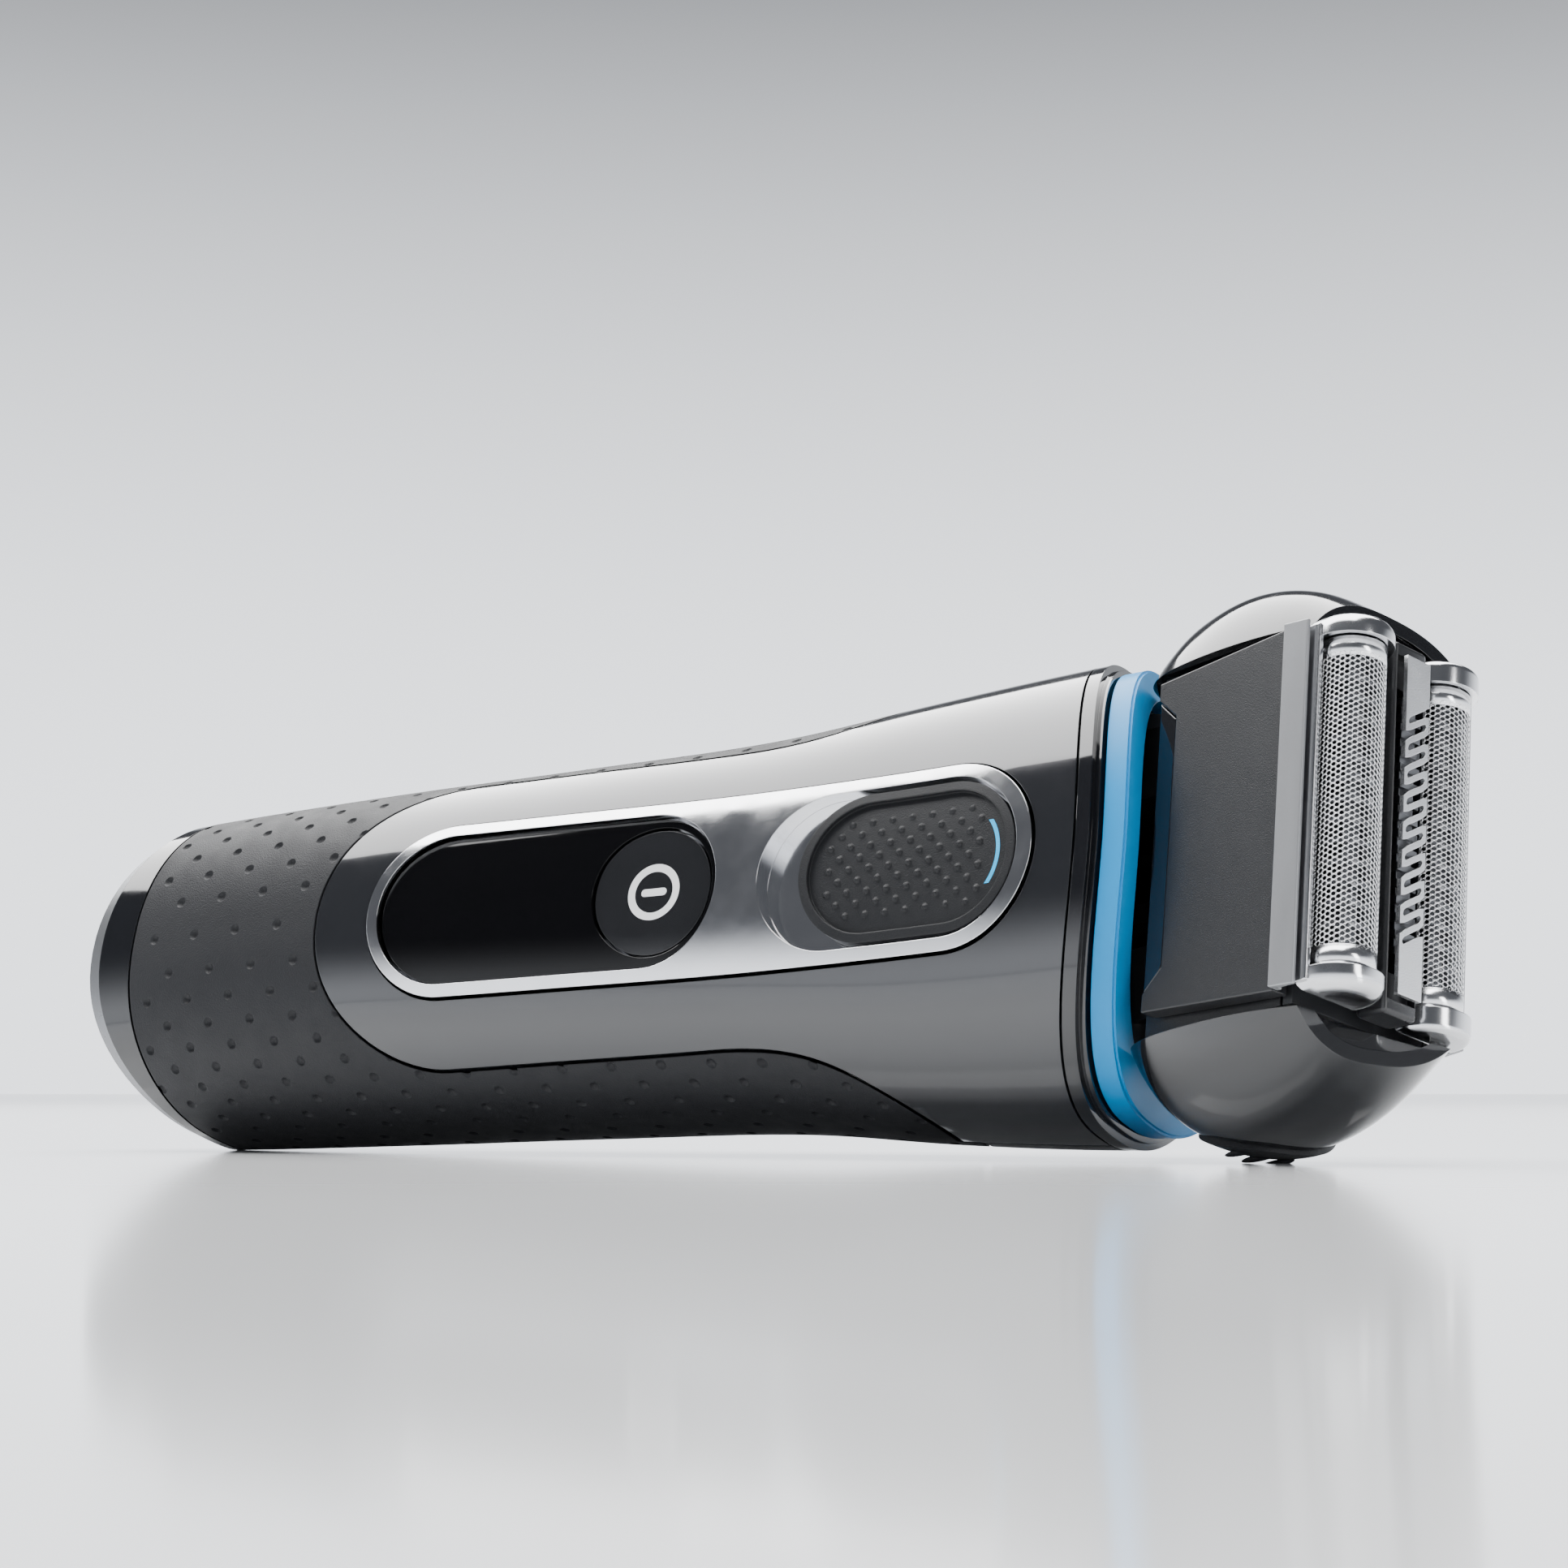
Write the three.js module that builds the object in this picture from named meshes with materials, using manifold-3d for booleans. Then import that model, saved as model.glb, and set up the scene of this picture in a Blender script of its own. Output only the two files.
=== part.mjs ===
// Electric foil shaver, lying on its side as it is put down on a shelf. Millimetres, +Z up.
//
// Every piece is drawn in the shaver's own axes and the whole assembly is then laid down:
//   X runs along the handle, from the base to the head,
//   Y runs across the width,
//   Z runs through the thickness, with the front (controls) at +Z.
// The head has axes of its own, with their origin on its pivot, tilted forward by headPitch.
import * as THREE from "three";
import { mergeVertices } from "three/addons/utils/BufferGeometryUtils.js";
import { LoftGeometry } from "three/addons/geometries/LoftGeometry.js";
import Module from "manifold-3d";

const wasm = await Module();
wasm.setup();

// ---------------------------------------------------------------- driving sizes

const gap = 0.3; // clearance between pieces that touch
const reach = 60; // how far a cutter runs past the shaver

// Handle body: stations along X, each with half width, front height and back depth.
const baseBow = 9; // how far the base is rounded in the front view
const trimBow = 8; // the same, for the seam between end trim and end cap
const gripBow = 4.2; // the same, for the seam between end cap and grip
const neckBow = 4; // the same, for the neck seams
const baseHalf = 19.4; // half width at which the base's bows are measured
const neckHalf = 25; // the same at the neck
const handle = {
  stations: [0, 14, 38, 62, 87, 105, 118, 134],
  halfWidths: [18.8, 19.3, 19.9, 20.4, 21.2, 23.2, 24.3, 25.2],
  fronts: [15.6, 16.7, 17.5, 17, 16.5, 17.1, 18.2, 20],
  backs: [15, 15.8, 16.5, 16.9, 17.5, 18.4, 19.2, 19.8],
  fullness: 2.45,
};
const wall = 2.2; // housing and grip wall
const trimEnd = 1.8; // end trim, along X
const capEnd = 7; // end cap's seam at the front centre
const coverEnd = 127.2; // where the covers meet the collar
const collarEnd = 129.7; // where the collar meets the accent ring
const ringEnd = 132.6; // top of the accent ring
const collarOpening = { inset: 4.4, back: 13.2 }; // what the head's barrel turns in

// Front cover, as seen from the front.
const cover = { start: 34.5, halfWidth: 16.6, flareStart: 84, flareEnd: 119, lowEdge: -2.5 };

// Control panel: bezel, display window, power button and lock switch.
const bezel = { start: 41.7, end: 122.7, width: 19.9, rim: 1.3, proud: 0.35, depth: 3.2, floor: 1 };
const windowEnd = 85.2;
const button = { radius: 7, thickness: 1.2, switchHalf: 3 };
button.centre = windowEnd - 0.8 - button.radius;
const slider = { end: 120.7, length: 25.3, width: 16.2, thickness: 2.6, travel: 4.6 };
const recess = {
  start: slider.end - slider.length - slider.travel - gap,
  end: slider.end + gap,
  width: slider.width + 1,
  floor: 1.1,
};

// Charging socket in the base.
const socket = { start: 0.2, width: 9, height: 7, depth: 10.5, wall: 1.2 };
const contact = { radius: 0.8, spacing: 3.8, length: 4, tail: 2 };

// Power train in the handle.
const battery = { radius: 7.1, length: 50, start: 19 };
battery.z = battery.radius + wall + gap - handle.backs[1];
const motor = { radius: 8.6, length: 23, start: 80, z: -2.6 };
const shaft = { radius: 1, length: 4 };
const eccentric = { radius: 4.4, length: 4.4, offset: 0.9, pinRadius: 0.9, pinLength: 15 };
const boss = { radius: 3, height: 1.6 };
const board = { start: 20, end: 110, width: 25, thickness: 1.4, z: 7.4 };
const chassis = { start: 14, end: 76, width: 28, thickness: 1.6, z: 2.2, rib: 2 };

// Long-hair trimmer in the back.
const trimmer = { start: 76, end: 123, halfWidth: 11.5, floorZ: -16, outerZ: -19.4 };
const trimmerRib = { start: 88, pitch: 2.4, count: 4, length: 1, halfWidth: 7, height: 0.7 };
const trimmerTooth = { pitch: 1.5, length: 3.2, width: 0.7, thickness: 0.5, lead: 0.4 };
const bladeDepth = { fixed: 2.6, moving: 1.8 }; // below the trimmer's floor

// Head: the pivot lies on the handle's axis; the head's own X starts there.
const pivotX = 126.4;
const headPitch = 22;
const pivotPin = { radius: 1.5, length: 5 };
const yoke = { start: 114, thickness: 1.6, inner: 17.9, halfDepth: 4.2, web: 2 };
const barrel = { radius: 8.5, halfWidth: yoke.inner - gap };
const headCore = { start: 10.8, end: 28.3, halfWidth: 18.9, front: 8.9, back: 9.2, bore: 7.4 };
const panel = { start: 12.3, end: 29.4, lowHalf: 17.2, highHalf: 18.3, thickness: 2 };
const headTrim = { end: 32.4, foot: 0.6, footDepth: 0.5, thickness: 0.9 };
const sideCover = {
  stations: [6.2, 8, 11, 15, 20, 26, 33, 37],
  halfWidths: [19.8, 23.4, 26.3, 27.9, 28.2, 26.5, 22.2, 19.6],
  fronts: [10.6, 11.4, 12, 12.3, 12.4, 12.3, 11.9, 11.6],
  backs: [11.4, 13.4, 15.2, 16.4, 16.8, 16, 14.2, 13],
  fullness: 2.6,
  end: 32,
  endTilt: 11,
};
const release = { start: 8, end: 19.5, z: -5.5, halfDepth: 7.5, travel: 1.2, proud: 0.5, depth: 6 };

// Foil cassette, in the head's axes.
const cassette = { start: headCore.end + gap, end: 29.8, halfWidth: 18.9, halfDepth: 8.9, well: 2.4 };
const rows = { front: { z: 6.8, drop: 0 }, rear: { z: -6.8, drop: 1.3 } };
const foil = { halfLength: 16.4, radius: 3.3, skin: 0.4, springLine: 33.7, float: 0.8 };
const foilFrame = { start: 31.4, wall: 0.6, endLength: 2.5, foot: 0.3 };
const cutter = {
  blades: 15,
  blade: 0.5,
  radius: foil.radius - foil.skin - gap,
  halfLength: 14.6,
  stroke: eccentric.offset,
};
const middle = {
  halfWidth: 1.9,
  rim: 0.4,
  halfLength: 17.4,
  top: 36,
  guard: 0.5,
  fingers: 13,
  endPlate: 4.6,
};
const comb = { teeth: 16, tooth: 0.8, spine: 2.2 };
const bridge = {
  deck: 1.5,
  half: 6.5,
  arm: 1.4,
  armStart: -6,
  low: -5.4,
  high: 2,
  postHalf: 0.9,
  spacing: 5.6,
};

// How it lies: rolled back from standing on its side, and tipped up towards the wider head.
const lyingRoll = 72.6;
const lyingPitch = 3.2;

// ---------------------------------------------------------------- materials

const material = (color, roughness, metalness = 0) =>
  new THREE.MeshStandardMaterial({ color, roughness, metalness });
const glossBlack = material(0x0b0c0e, 0.12);
const satinBlack = material(0x17181b, 0.45);
const gunmetal = material(0x2b2d31, 0.16, 0.35);
const gripRubber = material(0x232427, 0.75);
const satinGrey = material(0x6f7276, 0.35, 0.6);
const chrome = material(0xd8dade, 0.12, 1);
const satinSilver = material(0xb4b6b9, 0.32, 0.9);
const foilSteel = material(0xc9cbce, 0.25, 1);
const accentCyan = material(0x0b9fd6, 0.35);
const panelGrey = material(0x26272b, 0.4);
const innerPlastic = material(0x3b3d42, 0.6);
const boardGreen = material(0x1d5a34, 0.5);
const cellBlue = material(0x2f5e92, 0.4);
const bladeSteel = material(0xa9adb2, 0.3, 1);
const brass = material(0xc9a24b, 0.3, 1);

// ---------------------------------------------------------------- solids and booleans

// A closed three.js geometry as a solid that can be cut and joined.
function solid(geometry) {
  const plain = new THREE.BufferGeometry().copy(geometry);
  plain.deleteAttribute("normal");
  plain.deleteAttribute("uv");
  const merged = mergeVertices(plain, 1e-4);
  return new wasm.Manifold(
    new wasm.Mesh({
      numProp: 3,
      vertProperties: merged.attributes.position.array,
      triVerts: new Uint32Array(merged.index.array),
    }),
  );
}

// A cut or joined solid back as a geometry.
function geometryOf(shape) {
  const mesh = shape.getMesh();
  return new THREE.BufferGeometry()
    .setAttribute("position", new THREE.BufferAttribute(mesh.vertProperties, 3))
    .setIndex(new THREE.BufferAttribute(mesh.triVerts, 1));
}

// A box between two corners.
function block(low, high) {
  const size = high.map((v, i) => v - low[i]);
  const middleOf = high.map((v, i) => (v + low[i]) / 2);
  return solid(new THREE.BoxGeometry(...size).translate(...middleOf));
}

// A round bar between two points of one axis: "x", "y" or "z".
function bar(axis, radius, from, to, at = [0, 0], sides = 20) {
  const g = new THREE.CylinderGeometry(radius, radius, to - from, sides);
  const half = (from + to) / 2;
  if (axis === "x") g.rotateZ(-Math.PI / 2).translate(half, at[0], at[1]);
  if (axis === "y") g.translate(at[0], half, at[1]);
  if (axis === "z") g.rotateX(Math.PI / 2).translate(at[0], at[1], half);
  return solid(g);
}

// A shape drawn in XY, as a plate between two heights.
function plate(shape, low, high, curveSegments = 10) {
  const g = new THREE.ExtrudeGeometry(shape, { depth: high - low, bevelEnabled: false, curveSegments });
  return solid(g.translate(0, 0, low));
}

// A shape drawn as (x, z), as a bar across the width between two Y values.
function across(shape, low, high, curveSegments = 10) {
  const g = new THREE.ExtrudeGeometry(shape, { depth: high - low, bevelEnabled: false, curveSegments });
  return solid(g.rotateX(Math.PI / 2).translate(0, high, 0));
}

// A stadium along X, centred on y = 0.
function stadium(start, end, width) {
  const r = width / 2;
  const s = new THREE.Shape();
  s.moveTo(start + r, -r);
  s.lineTo(end - r, -r);
  s.absarc(end - r, 0, r, -Math.PI / 2, Math.PI / 2);
  s.lineTo(start + r, r);
  s.absarc(start + r, 0, r, Math.PI / 2, (3 * Math.PI) / 2);
  return s;
}

// The part of space between two bowed seams, as seen from the front. A positive bow falls
// back towards the base at the sides, a negative one runs forward.
function band(low, lowBow, lowHalf, high, highBow, highHalf) {
  const s = new THREE.Shape();
  s.moveTo(low - lowBow, -lowHalf);
  s.lineTo(low - lowBow, -reach);
  s.lineTo(high - highBow, -reach);
  s.lineTo(high - highBow, -highHalf);
  s.quadraticCurveTo(high + highBow, 0, high - highBow, highHalf);
  s.lineTo(high - highBow, reach);
  s.lineTo(low - lowBow, reach);
  s.lineTo(low - lowBow, lowHalf);
  s.quadraticCurveTo(low + lowBow, 0, low - lowBow, -lowHalf);
  return plate(s, -reach, reach, 14);
}

const baseBand = (low, lowBow, high, highBow) => band(low, lowBow, baseHalf, high, highBow, baseHalf);
const neckBandZone = (low, high) => band(low, neckBow, neckHalf, high, neckBow, neckHalf);
const middleZone = band(capEnd + gap, -gripBow, baseHalf, coverEnd, neckBow, neckHalf);

// ---------------------------------------------------------------- handle body

// Half width, front height and back depth as smooth functions of X.
function sizeCurve({ stations, halfWidths, fronts, backs }) {
  const sizes = stations.flatMap((_, i) => [halfWidths[i], fronts[i], backs[i]]);
  return new THREE.CubicInterpolant(new Float32Array(stations), new Float32Array(sizes), 3);
}

// A rounded form along X with those sizes, drawn in by inset.
function loftForm(curve, fullness, inset, from, to, sides, rows) {
  const power = 2 / fullness;
  const sections = Array.from({ length: rows + 1 }, (_, row) => {
    const x = from + ((to - from) * row) / rows;
    const [halfWidth, front, back] = curve.evaluate(x);
    return Array.from({ length: sides }, (_, i) => {
      const angle = (i / sides) * 2 * Math.PI;
      const c = Math.cos(angle);
      const s = Math.sin(angle);
      const depth = (s > 0 ? front : back) - inset;
      return new THREE.Vector3(
        x,
        (halfWidth - inset) * Math.sign(c) * Math.abs(c) ** power,
        depth * Math.sign(s) * Math.abs(s) ** power,
      );
    });
  });
  return solid(new LoftGeometry(sections, { capStart: true, capEnd: true }));
}

const bodyCurve = sizeCurve(handle);

// The handle's outer form, or a smaller one inside it.
const handleForm = (inset, from, to, sides = 44, rows = 18) =>
  loftForm(bodyCurve, handle.fullness, inset, from, to, sides, rows);

const outer = handleForm(0, 0, ringEnd + 1);
const inner = handleForm(wall, -1, ringEnd + 2, 28, 10);
const shell = outer.subtract(inner);

// The front cover's outline from the front: a round-ended tongue that flares to the neck.
function coverOutline(grow) {
  const h = cover.halfWidth + grow;
  const start = cover.start - grow;
  const bend = (cover.flareStart + cover.flareEnd) / 2;
  const s = new THREE.Shape();
  s.moveTo(start + h, -h);
  s.lineTo(cover.flareStart, -h);
  s.bezierCurveTo(bend, -h, bend, -h - 6, cover.flareEnd, -h - 12);
  s.lineTo(reach * 3, -h - 12);
  s.lineTo(reach * 3, h + 12);
  s.lineTo(cover.flareEnd, h + 12);
  s.bezierCurveTo(bend, h + 6, bend, h, cover.flareStart, h);
  s.lineTo(start + h, h);
  s.absarc(start + h, 0, h, Math.PI / 2, (3 * Math.PI) / 2);
  return s;
}

const coverCutter = (grow) => plate(coverOutline(grow), cover.lowEdge - grow, reach, 16);
const rearCutter = (grow) => plate(rearOutline(grow), -reach, cover.lowEdge - gap + grow, 16);

// The rear cover's outline from behind: it carries the long-hair trimmer.
function rearOutline(grow) {
  const h = trimmer.halfWidth + 4 + grow;
  const start = trimmer.start - 9 - grow;
  const s = new THREE.Shape();
  s.moveTo(start + h, -h);
  s.lineTo(trimmer.end - 24, -h);
  s.lineTo(trimmer.end - 6, -h - 14);
  s.lineTo(reach * 3, -h - 14);
  s.lineTo(reach * 3, h + 14);
  s.lineTo(trimmer.end - 6, h + 14);
  s.lineTo(trimmer.end - 24, h);
  s.lineTo(start + h, h);
  s.absarc(start + h, 0, h, Math.PI / 2, (3 * Math.PI) / 2);
  return s;
}

const bezelOutline = (grow) => stadium(bezel.start - grow, bezel.end + grow, bezel.width + 2 * grow);
const bezelFloor = bodyCurve.evaluate(recess.start)[1] - bezel.depth;
const channel = (grow) =>
  block(
    [trimmer.start - grow, -trimmer.halfWidth - grow, -reach],
    [ringEnd + reach, trimmer.halfWidth + grow, trimmer.floorZ + grow],
  );

function frontCover() {
  const body = shell.intersect(coverCutter(0)).intersect(middleZone);
  return body.subtract(plate(bezelOutline(gap), bezelFloor - gap, reach));
}

function rearCover() {
  const zone = rearCutter(0).intersect(middleZone);
  const floor = block(
    [trimmer.start - 4, -trimmer.halfWidth - 2, trimmer.floorZ + gap],
    [ringEnd, trimmer.halfWidth + 2, trimmer.floorZ + gap + wall],
  );
  const fitted = floor.intersect(handleForm(wall / 2, 0, ringEnd + 1, 28, 8));
  return shell.subtract(channel(gap)).add(fitted).intersect(zone);
}

function rubberGrip() {
  return shell
    .subtract(coverCutter(gap))
    .subtract(rearCutter(gap))
    .intersect(middleZone);
}

function socketHole(grow) {
  const w = socket.width / 2 + grow;
  const h = socket.height / 2 + grow;
  return block([-1, -w, -h], [socket.depth + grow, w, h]);
}

function endTrim() {
  const form = handleForm(0.7, 0, 16, 44, 2).intersect(baseBand(0, -baseBow, trimEnd, -trimBow));
  return form.subtract(socketHole(socket.wall + gap));
}

function endCap() {
  const inside = handleForm(wall + gap, 0, 16, 28, 2);
  const lip = inside.intersect(baseBand(trimEnd + gap, -trimBow, capEnd + 3, -gripBow));
  const form = outer.intersect(baseBand(trimEnd + gap, -trimBow, capEnd, -gripBow)).add(lip);
  return form.subtract(socketHole(socket.wall + gap));
}

const contactAt = (side) => [(side * contact.spacing) / 2, 0];

function socketBody() {
  const w = socket.width / 2 + socket.wall;
  const h = socket.height / 2 + socket.wall;
  const form = block([socket.start, -w, -h], [socket.depth + socket.wall, w, h]);
  const pinHole = (side) =>
    bar("x", contact.radius + gap, socket.depth - contact.length, socket.depth + 4, contactAt(side), 10);
  return form.subtract(socketHole(0)).subtract(pinHole(1)).subtract(pinHole(-1));
}

function socketPin(side) {
  const end = socket.depth + socket.wall + contact.tail;
  return bar("x", contact.radius, socket.depth - contact.length, end, contactAt(side), 10);
}

// Neck collar and accent ring: bands of the body's form with an opening for the head's barrel.
function neckBand(from, to, inset) {
  const opening = handleForm(collarOpening.inset, coverEnd - 12, ringEnd + 2, 32, 4)
    .intersect(block([0, -reach, -collarOpening.back], [reach * 3, reach, reach]));
  return handleForm(inset, coverEnd - 8, ringEnd + 1, 44, 4)
    .intersect(neckBandZone(from, to))
    .subtract(opening)
    .subtract(channel(gap));
}

// ---------------------------------------------------------------- control panel

function bezelFrame() {
  const skin = handleForm(-bezel.proud, bezel.start - 4, bezel.end + 4, 44, 8);
  const body = plate(bezelOutline(0), bezelFloor, reach).intersect(skin);
  const windowShape = stadium(bezel.start + bezel.rim, windowEnd + gap, bezel.width - 2 * bezel.rim);
  const windowHole = plate(windowShape, bezelFloor + bezel.floor, reach);
  const recessShape = stadium(recess.start, recess.end, recess.width);
  const recessHole = plate(recessShape, bezelFloor + recess.floor, reach);
  return body.subtract(windowHole).subtract(recessHole);
}

function displayWindow() {
  const outline = stadium(bezel.start + bezel.rim + gap, windowEnd, bezel.width - 2 * bezel.rim - 2 * gap);
  const skin = handleForm(bezel.proud, bezel.start - 4, bezel.end + 4, 44, 8);
  const well = bar("z", button.radius + gap, 0, reach, [button.centre, 0], 36);
  return plate(outline, bezelFloor + bezel.floor + gap, reach, 14).intersect(skin).subtract(well);
}

const frontAt = (x) => bodyCurve.evaluate(x)[1];

function powerButton() {
  const top = frontAt(button.centre) - bezel.proud;
  const cap = bar("z", button.radius, top - button.thickness, reach, [button.centre, 0], 36);
  const skin = handleForm(bezel.proud + 0.2, bezel.start - 4, bezel.end + 4, 44, 8);
  return cap.intersect(skin);
}

function lockSlider() {
  const start = slider.end - slider.length;
  const top = frontAt((start + slider.end) / 2);
  const pad = plate(stadium(start, slider.end, slider.width), top - slider.thickness, reach, 14);
  return pad.intersect(handleForm(-0.1, bezel.start - 4, bezel.end + 4, 44, 8));
}

// ---------------------------------------------------------------- inside the handle

function batteryCell() {
  return bar("x", battery.radius, battery.start, battery.start + battery.length, [0, battery.z], 28);
}

function chassisTray() {
  const half = chassis.width / 2;
  const deck = block([chassis.start, -half, chassis.z], [chassis.end, half, chassis.z + chassis.thickness]);
  const ends = [battery.start - chassis.rib - gap, battery.start + battery.length + gap].map((x) =>
    block([x, -half * 0.6, battery.z - 3], [x + chassis.rib, half * 0.6, chassis.z + 0.5]),
  );
  return ends.reduce((body, rib) => body.add(rib), deck);
}

function circuitBoard() {
  const half = board.width / 2;
  return block([board.start, -half, board.z], [board.end, half, board.z + board.thickness]);
}

function driveMotor() {
  const can = bar("x", motor.radius, motor.start, motor.start + motor.length, [0, motor.z], 28);
  return can.add(bar("x", boss.radius, motor.start - boss.height, motor.start + 1, [0, motor.z], 16));
}

// Motor shaft with the eccentric weight and its crank pin: it spins about the motor's axis.
function crank() {
  const start = motor.start + motor.length + gap;
  const discEnd = start + 1 + eccentric.length;
  const disc = bar("x", eccentric.radius, start + 1, discEnd, [0, motor.z], 20);
  const pinAt = [0, motor.z + eccentric.offset];
  const pin = bar("x", eccentric.pinRadius, discEnd - 1, discEnd + eccentric.pinLength, pinAt, 12);
  return disc.add(bar("x", shaft.radius, start, start + shaft.length, [0, motor.z], 12)).add(pin);
}

function buttonSwitch() {
  const half = button.switchHalf;
  const low = [button.centre - half, -half, board.z + board.thickness + gap];
  return block(low, [button.centre + half, half, bezelFloor - gap]);
}

// Yoke in the neck: two arms that hold the head's pivot pins, joined by a web behind the motor.
function pivotYoke() {
  const { start, inner: low, thickness, halfDepth, web } = yoke;
  const high = low + thickness;
  const arm = (side) => {
    const [from, to] = side > 0 ? [low, high] : [-high, -low];
    const straight = block([start, from, -halfDepth], [pivotX, to, halfDepth]);
    return straight.add(bar("y", halfDepth, from, to, [pivotX, 0], 24));
  };
  const pinReach = eccentric.offset + eccentric.pinRadius + 2;
  const shaftHole = bar("x", pinReach, start - 1, start + web + 1, [0, motor.z], 24);
  const pinHole = bar("y", pivotPin.radius + gap, -reach, reach, [pivotX, 0], 16);
  const back = block([start, -high, -halfDepth - 2.4], [start + web, high, halfDepth]);
  return back.add(arm(1)).add(arm(-1)).subtract(shaftHole).subtract(pinHole);
}

function pivotPinSide(side) {
  const from = barrel.halfWidth - pivotPin.length + gap;
  return pivotBar(side, pivotPin.radius, from, yoke.inner + yoke.thickness).translate(pivotX, 0, 0);
}

// ---------------------------------------------------------------- long-hair trimmer

function trimmerCarriage() {
  const w = trimmer.halfWidth - gap;
  const { start, pitch, count, length, halfWidth, height } = trimmerRib;
  const body = block([trimmer.start + gap, -w, trimmer.outerZ], [trimmer.end - 5, w, trimmer.floorZ - 0.2]);
  const ribs = Array.from({ length: count }, (_, i) => {
    const x = start + i * pitch;
    return block([x, -halfWidth, trimmer.outerZ - height], [x + length, halfWidth, trimmer.outerZ + 0.5]);
  });
  return ribs.reduce((carriage, rib) => carriage.add(rib), body);
}

function trimmerBlade(z, shift) {
  const w = trimmer.halfWidth - 1.2;
  const { pitch, length, width, thickness } = trimmerTooth;
  const base = block([trimmer.end - 4.7, -w, z], [trimmer.end - length, w, z + thickness]);
  const count = Math.floor((2 * w - 1) / pitch);
  const first = (-(count - 1) * pitch) / 2 + shift;
  const teeth = Array.from({ length: count }, (_, i) => {
    const y = first + i * pitch - width / 2;
    return block([trimmer.end - length - 0.2, y, z], [trimmer.end, y + width, z + thickness]);
  });
  return teeth.reduce((body, tooth) => body.add(tooth), base);
}

// ---------------------------------------------------------------- head

const sideCurve = sizeCurve(sideCover);
const sideStart = sideCover.stations[0];

// The form that the head's two side covers are cut from.
const headForm = (inset, from, to, sides = 44, rows = 10) =>
  loftForm(sideCurve, sideCover.fullness, inset, from, to, sides, rows);

const sideReach = headCore.halfWidth + gap;

// A bar on the pivot's axis, in the head's axes, on one side.
const pivotBar = (side, radius, from, to) =>
  bar("y", radius, side > 0 ? from : -to, side > 0 ? to : -from, [0, 0], 16);

function headCoreBody() {
  const { start, end, halfWidth, front, back, bore } = headCore;
  const core = block([start, -halfWidth, -back], [end, halfWidth, front]);
  const turning = bar("y", barrel.radius, -barrel.halfWidth, barrel.halfWidth, [0, 0], 36);
  const hollow = block([-barrel.radius - 1, -8, -bore], [end + 1, 8, bore]);
  const pinHole = (side) => pivotBar(side, pivotPin.radius + gap, barrel.halfWidth - pivotPin.length, reach);
  const neckSide = barrel.halfWidth - 2;
  const neck = block([0, -neckSide, -barrel.radius + 1], [start + 1, neckSide, barrel.radius - 2]);
  return core.add(turning).add(neck).subtract(hollow).subtract(pinHole(1)).subtract(pinHole(-1));
}

// The covers' foil end is cut on a slope: higher at the back than at the front.
const coverEndCutter = solid(
  new THREE.BoxGeometry(reach, reach * 2, reach * 2)
    .translate(reach / 2, 0, 0)
    .rotateY(THREE.MathUtils.degToRad(-sideCover.endTilt))
    .translate(sideCover.end, 0, 0),
);

function headSideCover(side) {
  const [from, to] = side > 0 ? [sideReach, reach] : [-reach, -sideReach];
  const zone = block([0, from, -reach], [reach, to, reach]);
  const form = headForm(0, sideStart, sideCover.end + 4).intersect(zone).subtract(coverEndCutter);
  const hollow = headForm(wall, sideStart + 2, sideCover.end + 5, 28, 8);
  const pocket = releaseForm(side, gap, 0);
  return form.subtract(hollow).subtract(pocket);
}

// The release button fills an oval in the side cover's lower corner. Its pocket is grown by the
// clearance and leaves room behind the button for its travel.
function releaseForm(side, grow, proud) {
  const s = new THREE.Shape();
  const mid = (release.start + release.end) / 2;
  const halfLength = (release.end - release.start) / 2 + grow;
  s.absellipse(mid, release.z, halfLength, release.halfDepth + grow, 0, 2 * Math.PI);
  const widest = Math.max(...sideCover.halfWidths);
  const low = widest - release.depth - (grow ? release.travel + grow : 0);
  const high = grow ? reach : widest + 9;
  const plug = side > 0 ? across(s, low, high, 10) : across(s, -high, -low, 10);
  return grow ? plug : plug.intersect(headForm(-proud, sideStart, sideCover.end));
}

const releaseButton = (side) => releaseForm(side, 0, release.proud);

function headPanel(front) {
  const { start, end, lowHalf, highHalf, thickness } = panel;
  const s = new THREE.Shape();
  s.moveTo(start, -lowHalf);
  s.lineTo(end, -highHalf);
  s.lineTo(end, highHalf);
  s.lineTo(start, lowHalf);
  s.closePath();
  const low = (front ? headCore.front : headCore.back) + gap;
  return front ? plate(s, low, low + thickness, 4) : plate(s, -low - thickness, -low, 4);
}

// Trim strip at a panel's foil end: its foot stands beside the panel and its lip rises in front
// of the foils.
function headTrimStrip(front) {
  const panelTop = (front ? headCore.front : headCore.back) + gap + panel.thickness;
  const inside = Math.max(rows.front.z + foil.radius + foilFrame.wall + 2 * gap, panelTop);
  const foot = inside - headTrim.footDepth;
  const start = panel.end + gap;
  const sign = front ? 1 : -1;
  const s = new THREE.Shape();
  s.moveTo(start, sign * foot);
  s.lineTo(start + headTrim.foot, sign * foot);
  s.lineTo(start + headTrim.foot, sign * inside);
  s.lineTo(headTrim.end, sign * inside);
  s.lineTo(headTrim.end, sign * (inside + headTrim.thickness / 2));
  s.lineTo(start, sign * (inside + headTrim.thickness));
  s.closePath();
  return across(s, -panel.highHalf, panel.highHalf, 4);
}

// ---------------------------------------------------------------- foil cassette

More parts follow.
